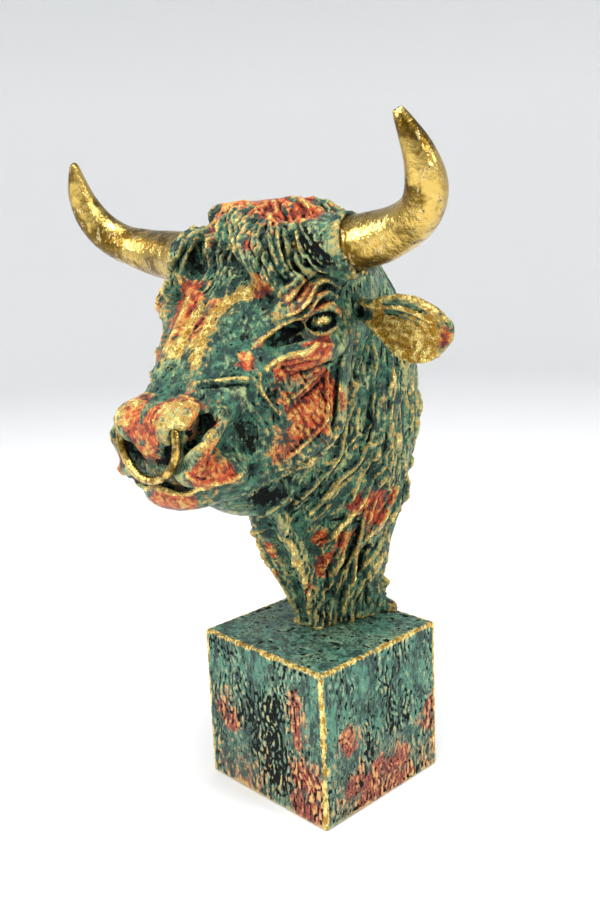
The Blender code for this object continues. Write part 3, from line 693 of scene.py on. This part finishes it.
# paint: how much of each colour lies where, before the brush's own grain
EVEN_SHARE = 0.9


def evened(values):
    """Values scaled so that EVEN_SHARE of them lies between -1 and 1, with the rest cut off."""
    return np.clip(values / np.quantile(np.abs(values), EVEN_SHARE), -1, 1)


def ridges(skin, *reaches):
    """How far a skin stands out at several reaches, each with its share, from -1 to 1."""
    return sum(share * evened(skin.relief(reach)) for reach, share in reaches)


def bare_layers(skin):
    return {name: np.zeros(len(skin.points)) for name in ("copper", "black", "gold")}


def store(mesh, layers):
    for name, values in layers.items():
        layer = mesh.attributes.new(name, "FLOAT", "POINT")
        layer.data.foreach_set("value", np.asarray(values, np.float32))


# path, width and strength of each stroke, and whether it lies only where it is drawn
GOLD_AND_HIGHLIGHT_STROKES = (
    # the two streaks down the nose
    (NOSE_STREAK, 8.5, 2.2, AS_DRAWN),
    (((-3.6, -56.2, 162.2), (-7.2, -63.2, 154.9), (-6.3, -68.6, 149.6), (-5.5, -73.9, 144.3),
      (-6, -78, 138.9)), 8.0, 2.0, AS_DRAWN),
    (((-20, -50, 166), (-16, -60, 157), (-13, -68, 149), (-11, -78, 138)), 6, 1.5, AS_DRAWN),
    # brow, lids, the front of each eyeball, where thick gold is a painted highlight, and the veins of the
    # cheek
    (UPPER_FOLD[:7], 3.0, 0.75),
    (BROW_EDGE, 2.6, 0.75),
    (((30.6, -53, 161.5), (35.4, -53.3, 165.3), (39.4, -50.8, 168), (44.9, -45.2, 173)), 2.6, 0.7),
    # painted highlight: gold laid thick on the front of each eyeball
    (((46.2, -42.6, 154.4), (46.6, -42.5, 152.6), (46.2, -42.8, 150.6)), 4.0, 3.0),
    (((42.7, -46, 148.6), (44.4, -44.8, 147), (46.8, -41.8, 146.6)), 1.8, 0.9),
    (FRONT_VEIN, 2.0, 0.5),
    (LOW_VEIN, 2.0, 0.8),
    (BACK_VEIN, 2.2, 0.75),
    (CHEEK_CREST[:4], 2.4, 0.8),
    # pad of the nose, wing of the nostril, mouth
    (((3.2, -95.7, 125.1), (10.9, -94.5, 126.2), (16.7, -90.7, 125.9), (21, -93.9, 122.4)), 7.0, 1.2),
    (((23, -95, 118), (20, -98, 121), (12, -101, 121), (4, -101, 122)), 8, 0.8),
    (((20, -86, 123), (22.5, -84, 118), (29, -91, 114.5), (26.5, -95, 110), (20, -96, 106),
      (15.5, -95.5, 103)), 2.4, 0.95),
    (((-14.9, -91.2, 89.9), (-1.7, -93, 91), (10.6, -91.9, 90), (24.2, -92.9, 91), (27.8, -86.9, 91),
      (29.1, -80, 92)), 4.2, 0.9, AS_DRAWN),
    # cheek and brow, thinly
    (((40, -30, 122), (37, -40, 112), (33, -50, 104), (27, -62, 98)), 12, 0.7),
    (((33, -60, 150), (38, -54, 158), (44, -48, 166), (48, -40, 169)), 9, 0.6),
    # jaw
    (JAW_EDGE[1:], 2.6, 1.1),
    (((20.6, -18.4, 87.9), (23.4, -13.1, 87.1), (24.9, -10, 91.1), (25.8, -8.7, 97.7),
      (29.7, -6.5, 111)), 2.4, 0.7),
    # ears
    (((46, -16, 150), (58, -15, 147), (70, -12.5, 143), (80, -9, 139)), 30, 3.0),
    # neck
    (THROAT_CORD[1:], 3.4, 0.8),
    (((31.4, 6.7, 99.3), (29, 1.8, 89.2), (25.7, -4.9, 81.1), (23, -11.4, 75.2), (17, -14.1, 66.2),
      (10.4, -19, 57.2)), 3.0, 0.7),
    (((29.2, 4.1, 80.8), (26.4, 1.1, 73), (25.1, 0.6, 67.6)), 4.5, 0.8),
    (((32.9, 17, 92), (32.4, 17.5, 78.6), (31.4, 19, 71.2)), 3.0, 0.7),
    (((29.7, 33.9, 88.4), (28.8, 32.8, 74.8), (27.6, 33.8, 68.4)), 3.2, 0.7),
    (((25, 30, 60), (22, 28, 40), (19, 26, 20)), 9, 0.7),
    (((34, 8, 128), (33, 14, 112), (33, 22, 96), (31, 32, 80)), 16, 0.6),
    (((30, 24, 140), (30, 32, 120), (30, 38, 100)), 16, 0.5),
    (((24, 6, 50), (18, 4, 34), (13, 3, 16)), 12, 0.6),
    (((10, 3, 12), (14, 8, 6), (17, 16, 3)), 6, 0.4),
)
COPPER_STROKES = (
    # poll
    (((-30, -24, 196), (-14, -30, 199), (2, -36, 199), (18, -34, 197), (34, -32, 196),
      (48, -34, 192)), 23.2, 1.0, AS_DRAWN),
    (((-26, -8, 203), (0, -10, 206), (28, -8, 202)), 27.9, 1.0, AS_DRAWN),
    (((14, -52, 190), (18, -55.2, 185.5), (23.7, -56.2, 182.5), (22.7, -56.8, 179)), 6.98, 0.7, AS_DRAWN),
    (((-12, -44, 190), (-15, -44, 184)), 7.75, 0.6, AS_DRAWN),
    # nose
    (NOSE_STREAK[:6], 9, 0.6, AS_DRAWN),
    (((-24, -44, 172), (-19, -52, 163), (-16, -60, 154), (-14, -68, 146),
      (-12, -76, 138)), 14, 0.9, AS_DRAWN),
    (((5.4, -53.5, 164.8), (3.5, -60.7, 157.6), (-1, -66.1, 152.3), (-1, -72, 146)), 10.8, 0.8, AS_DRAWN),
    (((-16, -52, 167), (-13.5, -59.5, 160.6), (-13.2, -65.9, 154.2),
      (-10.1, -72, 147.9)), 12.4, 0.9, AS_DRAWN),
    (((30, -55.4, 170), (20.9, -52.4, 165.4), (20, -54, 162)), 10.8, 0.75, AS_DRAWN),
    (((28.3, -65.3, 143), (26.7, -68.1, 138.6), (26.4, -69.4, 135.9)), 6.98, 0.75),
    # pad and lips
    (((22, -97, 121), (22, -93, 118), (19, -97, 114)), 13, 0.85),
    (((23, -84, 119), (28, -89, 114), (28, -90, 108), (22, -95, 105)), 11, 0.75),
    (((20, -95, 103), (25, -92, 99), (28, -84, 97), (28, -77, 98)), 13, 0.9),
    (((3, -96, 125), (10, -95, 126), (17, -91, 126), (21, -93, 122)), 12, 0.8),
    (((0, -101, 121), (6, -101, 119), (12, -101, 117)), 18.6, 0.95),
    (((0, -99, 110), (3, -98, 106)), 14, 0.85),
    (((25.7, -92.8, 103.1), (26.5, -91, 98), (28.2, -84, 99)), 14, 1.0),
    (((-8, -92, 86), (8, -91, 85), (18, -85, 85)), 14, 0.8, AS_DRAWN),
    # lids, cheek, brow
    ([around_eye(b, 8.2, 5.6, 4) for b in range(-10, 191, 40)], 4.5, 0.85),
    (((38, -38, 116), (35, -46, 109), (32, -54, 103), (28, -62, 99)), 14, 0.62),
    (((33, -62, 134), (37, -55, 135), (41, -46, 136), (43, -38, 136)), 12, 0.7),
    (((36, -55, 158), (42, -50, 163), (46, -44, 168)), 11, 0.55),
    (((34, -50, 108), (37, -43, 115), (39, -36, 122), (40, -28, 128)), 20.2, 1.0),
    (((35, -57, 136), (40, -52, 138.5), (44, -45, 140.5), (46, -37, 140)), 12.4, 0.9),
    (((31, -60, 128), (33, -55, 126)), 9.3, 0.55),
    (((38, -53, 155), (43, -49.8, 158.9), (46.5, -45.5, 163), (47.8, -38, 165)), 9.3, 0.7),
    (((28, -65, 144.5), (33, -58, 149.5)), 5.42, 0.6),
    # neck
    (((25, 0.7, 68), (25.2, 3.4, 64), (24.5, -0.1, 61)), 10.1, 0.95),
    (((28.3, 7.1, 72), (28.2, 13.3, 63), (26.6, 15.7, 57.4), (28.5, 22, 61.5), (27.6, 31.3, 65)), 12.4, 1.0),
    (((20.6, 2.8, 50.7), (17.8, 4.1, 44), (14.4, 1.3, 37.1)), 9.3, 0.9),
    (((12.2, -3.7, 40), (10.1, -2.1, 33.3), (8.4, -5.5, 27.3)), 8.53, 0.8),
    (((13.3, -9.5, 52.7), (13.3, -7.1, 48), (9.9, -9.1, 43.8)), 6.98, 0.8),
    (((20.2, 12, 51), (19.2, 13.5, 45)), 6.2, 0.8),
    (((10.7, -17.6, 31.8), (9.4, -13.4, 24.8), (7.1, -9.1, 18)), 5.58, 0.7),
    (((-7, -24, 48), (-6.3, -18.5, 36)), 4.65, 0.8, AS_DRAWN),
    # tip of the ear
    (((76, -11, 148), (80, -10, 143), (80, -9, 138)), 10.8, 0.75),
)
BLACK_AND_SHADE_STROKES = (
    # painted shade, laid in black: the wedge of shadow in front of the eye, the small shadow under it, and
    # the shadowed gap round the eyeball
    (((31, -58, 146), (34, -54, 147.8), (38, -50, 150), (43, -46.5, 152.5)), 2.8, 1.3),
    (((35.2, -53, 144.5), (37.7, -49.9, 146.1), (39.5, -47.8, 147.4)), 2.6, 1.1),
    ([around_eye(b, 5.6, 4.6, 2) for b in range(0, 361, 40)], 2.6, 1.5),
    (((45, -46.1, 157.6), (47, -43.8, 160), (48.5, -40, 160.6)), 1.8, 1.0),
    (((36.1, -46, 190), (44, -47.5, 184), (49, -45, 178), (53, -41, 173)), 8, 0.85),
    (JAW_GROOVE[:4], 3.8, 1.0),
    (((14.7, -58.2, 80.2), (13.9, -49.2, 79.1), (16.6, -40.4, 77.4), (17, -30, 79)), 11, 0.8),
    (((23, -15, 80), (18, -22, 70), (14, -26, 62)), 7, 0.5),
    (NOSTRIL, 3.6, 1.6),
    (((16, -97, 109), (11, -98, 107), (8, -96.5, 103.5), (0, -96, 102)), 3.0, 1.2),
    (LONG_GROOVE[:4], 2.8, 1.0),
    (SIDE_GROOVE, 2.6, 1.1),
    (NAPE_GROOVE, 4.0, 0.9),
    (((11, -10, 22), (12, -4, 6), (15, 4, 2), (18, 14, 1.5)), 3.0, 0.8),
)
NECK_TOP = PLINTH_TOP + 125 * MM
NECK_FRONT = -32 * MM
NECK_GOLD = 0.38
skin = Skin(head.data)
layers = bare_layers(skin)
for name, strokes in (("gold", GOLD_AND_HIGHLIGHT_STROKES), ("copper", COPPER_STROKES), ("black", BLACK_AND_SHADE_STROKES)):
    for path, width, strength, *sides in strokes:
        skin.paint(layers[name], path, width, strength, *sides)
# gold rubbed over the whole neck
rubbed = (skin.points[:, 2] < NECK_TOP) & (skin.points[:, 1] > NECK_FRONT)
layers["gold"][rubbed] = np.maximum(layers["gold"][rubbed], NECK_GOLD)
# thinner colour wiped out past the edges of each patch of copper
for path, width, strength, *sides in COPPER_STROKES:
    skin.paint(layers["copper"], path, 1.9 * width, 0.55 * strength, *sides)
    skin.paint(layers["gold"], path, 1.6 * width, 0.32 * strength, *sides)
store(head.data, {"ridge": ridges(skin, (2, 0.45), (8, 0.35), (40, 0.20)), **layers})


class Brush:
    """Mixes one finish from shader nodes."""

    def __init__(self, name):
        self.material = bpy.data.materials.new(name)
        self.material.use_nodes = True
        self.tree = self.material.node_tree
        self.shader = self.tree.nodes["Principled BSDF"]
        self.place = self.node("ShaderNodeTexCoord").outputs["Object"]

    def node(self, kind, **settings):
        made = self.tree.nodes.new(kind)
        for key, value in settings.items():
            setattr(made, key, value)
        return made

    def feed(self, socket, value):
        if isinstance(value, bpy.types.NodeSocket):
            self.tree.links.new(value, socket)
        elif isinstance(value, tuple) and len(value) == 3 and socket.type == "RGBA":
            socket.default_value = (*value, 1)
        else:
            socket.default_value = value

    def layer(self, name):
        return self.node("ShaderNodeAttribute", attribute_name=name).outputs["Fac"]

    def noise(self, size, detail, rough, stretch=(1, 1, 1)):
        """Noise whose lumps are size metres across, drawn out along each axis by stretch."""
        spread = self.node("ShaderNodeMapping")
        self.feed(spread.inputs["Vector"], self.place)
        spread.inputs["Scale"].default_value = [1 / (size * s) for s in stretch]
        made = self.node("ShaderNodeTexNoise")
        made.inputs["Scale"].default_value = 1
        made.inputs["Detail"].default_value = detail
        made.inputs["Roughness"].default_value = rough
        self.feed(made.inputs["Vector"], spread.outputs["Vector"])
        return made.outputs["Fac"]

    def patches(self, size, detail, rough=0.6, stretch=(1, 1, 1)):
        """Noise whose middle third is drawn out, so that it goes from 0 to 1."""
        return self.edge(self.noise(size, detail, rough, stretch), 0.33, 0.67)

    def calc(self, operation, *values):
        made = self.node("ShaderNodeMath", operation=operation)
        for socket, value in zip(made.inputs, values):
            self.feed(socket, value)
        return made.outputs[0]

    def sum(self, *terms):
        """Adds terms, each a socket, a number or a (socket, factor) pair."""
        total = None
        for term in terms:
            value, factor = term if isinstance(term, tuple) else (term, 1)
            if total is None and factor == 1:
                total = value
            else:
                total = self.calc("MULTIPLY_ADD", value, factor, 0 if total is None else total)
        return total

    def edge(self, value, low, high, bottom=0, top=1):
        """Goes softly from bottom to top as value goes from low to high."""
        made = self.node("ShaderNodeMapRange", interpolation_type="SMOOTHSTEP")
        self.feed(made.inputs["Value"], value)
        made.inputs["From Min"].default_value = low
        made.inputs["From Max"].default_value = high
        made.inputs["To Min"].default_value = bottom
        made.inputs["To Max"].default_value = top
        return made.outputs["Result"]

    def blend(self, share, under, over):
        """Colour over laid on colour under, by share."""
        made = self.node("ShaderNodeMix", data_type="RGBA")
        self.feed(made.inputs["Factor"], share)
        self.feed(made.inputs[MIX_UNDER], under)
        self.feed(made.inputs[MIX_OVER], over)
        return made.outputs[MIX_RESULT]

    def lay(self, under, over, low, high, *terms, most=1):
        """Colour over laid on colour under, from where the terms add up to low, and most of it at high."""
        return self.blend(self.edge(self.sum(*terms), low, high, 0, most), under, over)

    def bump(self, height, depth):
        made = self.node("ShaderNodeBump")
        made.inputs["Distance"].default_value = depth
        self.feed(made.inputs["Height"], height)
        self.feed(self.shader.inputs["Normal"], made.outputs["Normal"])

    def dull(self, dark):
        """Takes the shine off where the finish is dark."""
        self.feed(self.shader.inputs["Specular IOR Level"], self.sum(0.45, (dark, -0.35)))

    def done(self, colour, rough, metal):
        self.feed(self.shader.inputs["Base Color"], colour)
        self.feed(self.shader.inputs["Roughness"], rough)
        self.feed(self.shader.inputs["Metallic"], metal)
        return self.material


BLACK = (0.004, 0.006, 0.005)
DEEP_SEA = (0.003, 0.030, 0.022)
SEA_GREEN = (0.055, 0.195, 0.110)
PALE_GREEN = (0.42, 0.50, 0.22)
DEEP_RED = (0.13, 0.010, 0.003)
COPPER_RED = (0.52, 0.060, 0.008)
SALMON = (0.88, 0.33, 0.07)
OCHRE = (0.62, 0.38, 0.08)
# lit and shaded copies of the gold leaf, mixed on the leaf as painted glints and painted shade
LIT_GOLD = (1.0, 0.78, 0.27)
GOLD_SHADE = (0.42, 0.23, 0.025)


def patina():
    brush = Brush("verdigris_and_gold")
    ridge = brush.layer("ridge")
    cloud = brush.patches(0.016, 3)
    patch = brush.patches(0.0060, 4)
    speck = brush.patches(0.0026, 4)
    flake = brush.patches(0.0019, 4)
    dust = brush.edge(brush.noise(0.0009, 2, 0.6), 0.30, 0.70)
    strands = brush.patches(0.0012, 3, 0.6, (1, 1, 6))
    colour = brush.lay(DEEP_SEA, SEA_GREEN, 0.25, 0.85, (patch, 0.5), (speck, 0.4), (dust, 0.15))
    colour = brush.lay(colour, PALE_GREEN, 0.48, 0.98, (cloud, 0.40), (speck, 0.30), (strands, 0.25),
                       (ridge, 0.25), most=0.9)
    # copper red, dabbed on, from deep red in its hollows to salmon on what stands out
    red = brush.lay(DEEP_RED, COPPER_RED, 0.15, 0.60, (speck, 0.6), (ridge, 0.25), (patch, 0.2))
    red = brush.lay(red, SALMON, 0.42, 0.98, (flake, 0.45), (patch, 0.35), (ridge, 0.34))
    colour = brush.lay(colour, red, 0.86, 1.22, (brush.layer("copper"), 1.2), (patch, 0.45), (flake, 0.35),
                       (dust, 0.12))
    # ochre film and gold leaf, dragged over what stands out and where they were brushed on
    where = brush.sum((flake, 0.40), (strands, 0.15), (patch, 0.3), (ridge, 0.40),
                      (brush.layer("gold"), 0.38))
    colour = brush.blend(brush.edge(where, 0.62, 0.98, 0, 0.8), colour, OCHRE)
    leaf = brush.edge(where, 0.92, 1.06)
    # the leaf goes from its shaded copy to its lit one by noise and on what stands out: painted shade and
    # painted glint
    lit_and_shaded_leaf = brush.lay(GOLD_SHADE, LIT_GOLD, 0.20, 0.75, (speck, 0.5), (patch, 0.3), (ridge, 0.2))
    colour = brush.blend(leaf, colour, lit_and_shaded_leaf)
    # black left in the hollows and in pits, and the painted shade round the eyes from the black layer
    where = brush.sum((speck, 0.50), (strands, -0.20), (cloud, 0.12), (ridge, -0.50),
                      (brush.layer("black"), 0.62), (brush.layer("gold"), -0.12))
    dark = brush.edge(where, 0.40, 0.60)
    colour = brush.blend(dark, colour, BLACK)
    leaf = brush.calc("MULTIPLY", leaf, brush.sum(1.0, (dark, -1.0)))
    brush.bump(brush.sum((speck, 0.4), (flake, 0.3), (strands, 0.4), (dust, 0.25), (leaf, 0.15)), 0.0013)
    brush.dull(dark)
    rough = brush.sum(0.28, (leaf, -0.06), (dust, 0.10), (dark, 0.2))
    return brush.done(colour, rough, brush.calc("MULTIPLY", leaf, 0.85))


head.data.materials.append(patina())
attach(head, "root")
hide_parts("head_and_neck")

# Horns: cast with the head's core, polished smooth and covered with gold leaf that has worn and crazed, with
# dark size showing in broad bands. Each is bedded in its socket on the poll.

HORN_SWELL = 0.0005
HORN_DENTS = 0.0005
DENT_SIZE = 9
ROUNDING = 3
LEAF_WORN = (0.55, 0.38, 0.10)
LEAF_BAND = (0.12, 0.068, 0.008)
LEAF_BRIGHT = (0.76, 0.60, 0.27)
DARK_SIZE = (0.030, 0.018, 0.006)


def smoothed_copy(node, name):
    made = merged_copy(node, name)
    rounder = made.modifiers.new("rounder", "SUBSURF")
    rounder.levels = ROUNDING
    rounder.render_levels = ROUNDING
    apply_all(made)
    made.data.shade_smooth()
    return made


def gold_leaf(name, band_size):
    brush = Brush(name)
    band = brush.patches(band_size, 3, 0.55)
    patch = brush.patches(0.0045, 4)
    speck = brush.patches(0.0014, 3)
    scratch = brush.patches(0.0010, 3, 0.6, (1, 1, 5))
    craze = brush.noise(0.0050, 2, 0.5)
    shade = brush.edge(brush.sum((band, 0.65), (patch, 0.3), (speck, 0.1)), 0.32, 0.78)
    colour = brush.blend(shade, LEAF_WORN, LEAF_BAND)
    colour = brush.lay(colour, LEAF_BRIGHT, 0.62, 0.95, (patch, 0.5), (scratch, 0.3), (speck, 0.2))
    # dark size showing in pin holes, scratches and fine cracks, which run where the noise is near its middle
    crack = brush.edge(brush.calc("ABSOLUTE", brush.calc("SUBTRACT", craze, 0.5)), 0.003, 0.010, 1, 0)
    open_leaf = brush.edge(brush.sum((band, 0.6), (patch, 0.4)), 0.58, 0.75)
    holes = brush.edge(brush.sum((speck, 0.35), (patch, 0.35), (scratch, 0.30)), 0.80, 0.92)
    dirt = brush.calc("MAXIMUM", holes, brush.calc("MULTIPLY", crack, open_leaf))
    colour = brush.blend(dirt, colour, DARK_SIZE)
    brush.bump(brush.sum((patch, 0.35), (speck, 0.15), (scratch, 0.1), (dirt, -0.2)), 0.0005)
    rough = brush.sum(0.17, (patch, 0.08), (shade, 0.10), (dirt, 0.25))
    return brush.done(colour, rough, brush.sum(1.0, (dirt, -0.7)))


leaf = gold_leaf("worn_gold_leaf", 0.014)
for name in ("horn_left", "horn_right"):
    horn = smoothed_copy(name, name + "_skin")
    points = read_points(horn.data, "co")
    normals = read_points(horn.data, "normal")
    dents = lattice_noise(points, DENT_SIZE, 11) - 0.5
    move_points(horn.data, points + normals * (HORN_SWELL + HORN_DENTS * dents)[:, None])
    horn.data.materials.append(leaf)
    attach(horn, "root")
    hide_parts(name)

# Nose ring: a bent rod through the nose, gilded after it was set, and rough with paint.

ring = smoothed_copy("nose_ring", "nose_ring_skin")
ring.data.materials.append(gold_leaf("ring_gold", 0.006))
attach(ring, "root")
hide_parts("nose_ring")

# Plinth: a square block cast with a crinkled skin. It is sea green above, black in streaks, rust red low
# down, and its edges are rubbed with gold leaf.

PLINTH_VOXEL = 0.00082
CRINKLE = 0.7
CRINKLE_WARP = 5
PIT_SHARE = -3.5
SUNK = 0.35
SHARP_EDGE = 2.5
SHARP_FOOT = 0.5
RIM = 3.4
FLAT_TOP = 0.7
BLOCK_GREEN = (0.085, 0.28, 0.185)
BLOCK_PALE = (0.40, 0.58, 0.35)
RUST_DEEP = (0.13, 0.010, 0.008)
RUST = (0.44, 0.060, 0.022)
RUST_PALE = (0.76, 0.33, 0.11)
BLOCK_OCHRE = (0.72, 0.50, 0.18)

# the crinkle: fine waves that are drawn out upwards and bent, calmer in places, with pits in the top alone
plinth = merged_copy("plinth", "plinth_skin")
remesh(plinth, PLINTH_VOXEL)
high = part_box("plinth")[1]
skin = Skin(plinth.data)
top = skin.normals[:, 2] > FLAT_TOP
warp = CRINKLE_WARP * MM * (lattice_noise(skin.points, 9, 20) - 0.5)
bent = skin.points + warp[:, None]
tall = lattice_noise(bent, (2.0, 2.0, 4.4), 21)
small = lattice_noise(bent, (1.5, 1.5, 2.6), 22)
calm = np.clip(2.2 * lattice_noise(skin.points, (13, 13, 22), 24) - 0.35, 0.15, 1)
crinkle = (0.6 * np.abs(2 * tall - 1) + 0.5 * small - 0.55) * calm
pits = np.clip(lattice_noise(skin.points, (3.6, 3.6, 2), 23) - 0.66, 0, None)
lift = np.where(top, PIT_SHARE * pits, crinkle) - SUNK
# how far each point is from the nearest edge: the middle one of its distances to two sides and the top
x, y, z = skin.points.T
to_edge = np.sort(np.stack([high.x - np.abs(x), high.y - np.abs(y), high.z - z]), axis=0)[1]
lift *= np.clip(to_edge / (SHARP_EDGE * MM), 0.25, 1)
skin.lift = lift * CRINKLE * MM
skin.lift[z < SHARP_FOOT * MM] = 0
skin.finish()
plinth.data.shade_smooth()
skin = Skin(plinth.data)
layers = {"ridge": ridges(skin, (2, 0.6), (8, 0.4)), "rim": np.clip(1 - to_edge / (RIM * MM), 0, 1)}
layers.update(bare_layers(skin))


def on_face(face, along, down):
    """A point of one of the four sides: 0 to 1 from its left edge to its right one, and from its top down."""
    x, y = (2 * along - 1) * high.x, (2 * along - 1) * high.y
    turned = {"front": (x, -high.y), "left": (high.x, y), "back": (-x, high.y), "right": (-high.x, -x)}
    return Vector((*turned[face], high.z * (1 - down)))


# streaks and patches, each with its path, width and strength. The back is painted like the front, and the
# right side like the left one
FRONT_COPPER = (
    (((0.06, 0.56), (0.16, 0.52), (0.24, 0.66)), 14, 0.85),
    (((0.05, 0.85), (0.25, 0.95)), 12, 0.6),
    (((0.77, 0.12), (0.78, 0.35), (0.80, 0.60)), 7, 0.85),
    (((0.70, 0.78), (0.85, 0.72), (0.97, 0.80)), 16, 0.95),
    (((0.68, 0.98), (0.85, 0.92), (0.98, 0.99)), 18, 1.0),
)
FRONT_BLACK = (
    (((0.40, 0.18), (0.42, 0.50), (0.44, 0.80)), 15, 0.5),
    (((0.60, 0.22), (0.60, 0.50), (0.58, 0.95)), 15, 0.65),
    (((0.28, 0.40), (0.30, 0.60)), 9, 0.4),
    (((0.02, 0.06), (0.25, 0.12)), 8, 0.5),
)
FRONT_GOLD = (
    (((0.08, 0.45), (0.22, 0.60), (0.20, 0.82)), 14, 0.45),
    (((0.92, 0.45), (0.95, 0.70)), 9, 0.35),
)
LEFT_COPPER = (
    (((0.15, 0.40), (0.20, 0.50), (0.24, 0.62)), 11, 0.85),
    (((0.88, 0.50), (0.95, 0.60), (0.90, 0.75)), 15, 0.75),
    (((0.10, 0.80), (0.30, 0.82), (0.55, 0.80), (0.80, 0.82)), 15, 0.9),
    (((0.20, 0.98), (0.50, 0.97), (0.85, 0.96)), 13, 0.95),
)
LEFT_BLACK = (
    (((0.38, 0.30), (0.40, 0.50), (0.38, 0.72)), 8, 0.5),
    (((0.55, 0.12), (0.57, 0.40), (0.60, 0.62)), 7, 0.55),
    (((0.72, 0.35), (0.72, 0.60)), 6, 0.5),
    (((0.05, 0.99), (0.5, 1.0), (0.97, 0.99)), 6, 0.6),
)
LEFT_GOLD = (
    (((0.55, 0.50), (0.60, 0.80)), 9, 0.35),
    (((0.30, 0.60), (0.45, 0.85)), 9, 0.3),
)
FRONT_PAINT = (("copper", FRONT_COPPER), ("black", FRONT_BLACK), ("gold", FRONT_GOLD))
LEFT_PAINT = (("copper", LEFT_COPPER), ("black", LEFT_BLACK), ("gold", LEFT_GOLD))
SIDES = (("front", FRONT_PAINT), ("left", LEFT_PAINT), ("back", FRONT_PAINT), ("right", LEFT_PAINT))
for face, painted in SIDES:
    for name, strokes in painted:
        for points, width, strength in strokes:
            path = smooth_line([on_face(face, *p) for p in points])
            skin.lay(layers[name], path, width, strength)
            if name == "copper":
                skin.lay(layers["copper"], path, 2.0 * width, 0.6 * strength)
                skin.lay(layers["gold"], path, 2.4 * width, 0.5 * strength)
# the lower half of every side is warm and rubbed with gold
low_down = np.clip((0.60 - skin.points[:, 2] / high.z) / 0.45, 0, 1)
streaky = lattice_noise(skin.points, (9, 9, 40), 25)
warm = np.where(skin.normals[:, 2] > FLAT_TOP, 0, low_down * (0.35 + 0.75 * streaky))
layers["copper"] = np.maximum(layers["copper"], 0.62 * warm)
layers["gold"] = np.maximum(layers["gold"], 0.9 * warm)
store(plinth.data, layers)


def block_finish():
    brush = Brush("crinkled_verdigris")
    ridge = brush.layer("ridge")
    cloud = brush.patches(0.016, 3, 0.6, (1, 1, 2))
    streak = brush.patches(0.0042, 4, 0.6, (1, 1, 3.2))
    speck = brush.patches(0.0021, 4, 0.6, (1, 1, 1.9))
    flake = brush.patches(0.0015, 3, 0.6, (1, 1, 1.7))
    dust = brush.edge(brush.noise(0.0009, 2, 0.6), 0.30, 0.70)
    colour = brush.lay(DEEP_SEA, BLOCK_GREEN, 0.25, 0.85, (streak, 0.5), (speck, 0.4), (dust, 0.15))
    colour = brush.lay(colour, BLOCK_PALE, 0.38, 1.12, (cloud, 0.40), (speck, 0.35), (flake, 0.2),
                       (ridge, 0.20))
    # rust red, then an ochre film over it
    red = brush.lay(RUST_DEEP, RUST, 0.15, 0.60, (speck, 0.6), (ridge, 0.2), (streak, 0.2))
    red = brush.lay(red, RUST_PALE, 0.36, 0.85, (flake, 0.5), (streak, 0.3), (ridge, 0.25))
    colour = brush.lay(colour, red, 0.90, 1.30, (brush.layer("copper"), 1.1), (streak, 0.50), (flake, 0.35),
                       (dust, 0.12))
    colour = brush.lay(colour, BLOCK_OCHRE, 0.66, 1.08, (flake, 0.45), (dust, 0.15), (streak, 0.25),
                       (ridge, 0.32), (brush.layer("gold"), 0.35), most=0.85)
    where = brush.sum((speck, 0.50), (dust, 0.15), (cloud, 0.25), (ridge, -0.44),
                      (brush.layer("black"), 0.55))
    dark = brush.edge(where, 0.60, 0.78)
    colour = brush.blend(dark, colour, BLACK)
    # gold leaf rubbed on the edges, broken where the block is chipped, and mixed by noise from its shaded
    # copy to its lit one as painted shade and painted glint
    where = brush.sum((brush.layer("rim"), 0.9), (flake, 0.4), (dust, 0.2), (streak, 0.5), (ridge, 0.15))
    leaf = brush.edge(where, 1.00, 1.16)
    lit_and_shaded_leaf = brush.lay(GOLD_SHADE, LIT_GOLD, 0.25, 0.70, (speck, 0.6), (dust, 0.3))
    colour = brush.blend(leaf, colour, lit_and_shaded_leaf)
    brush.bump(brush.sum((speck, 0.5), (flake, 0.4), (dust, 0.35)), 0.0012)
    brush.dull(dark)
    rough = brush.sum(0.36, (leaf, -0.10), (dust, 0.10), (dark, 0.2))
    return brush.done(colour, rough, brush.calc("MULTIPLY", leaf, 0.9))


plinth.data.materials.append(block_finish())
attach(plinth, "root")
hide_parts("plinth")
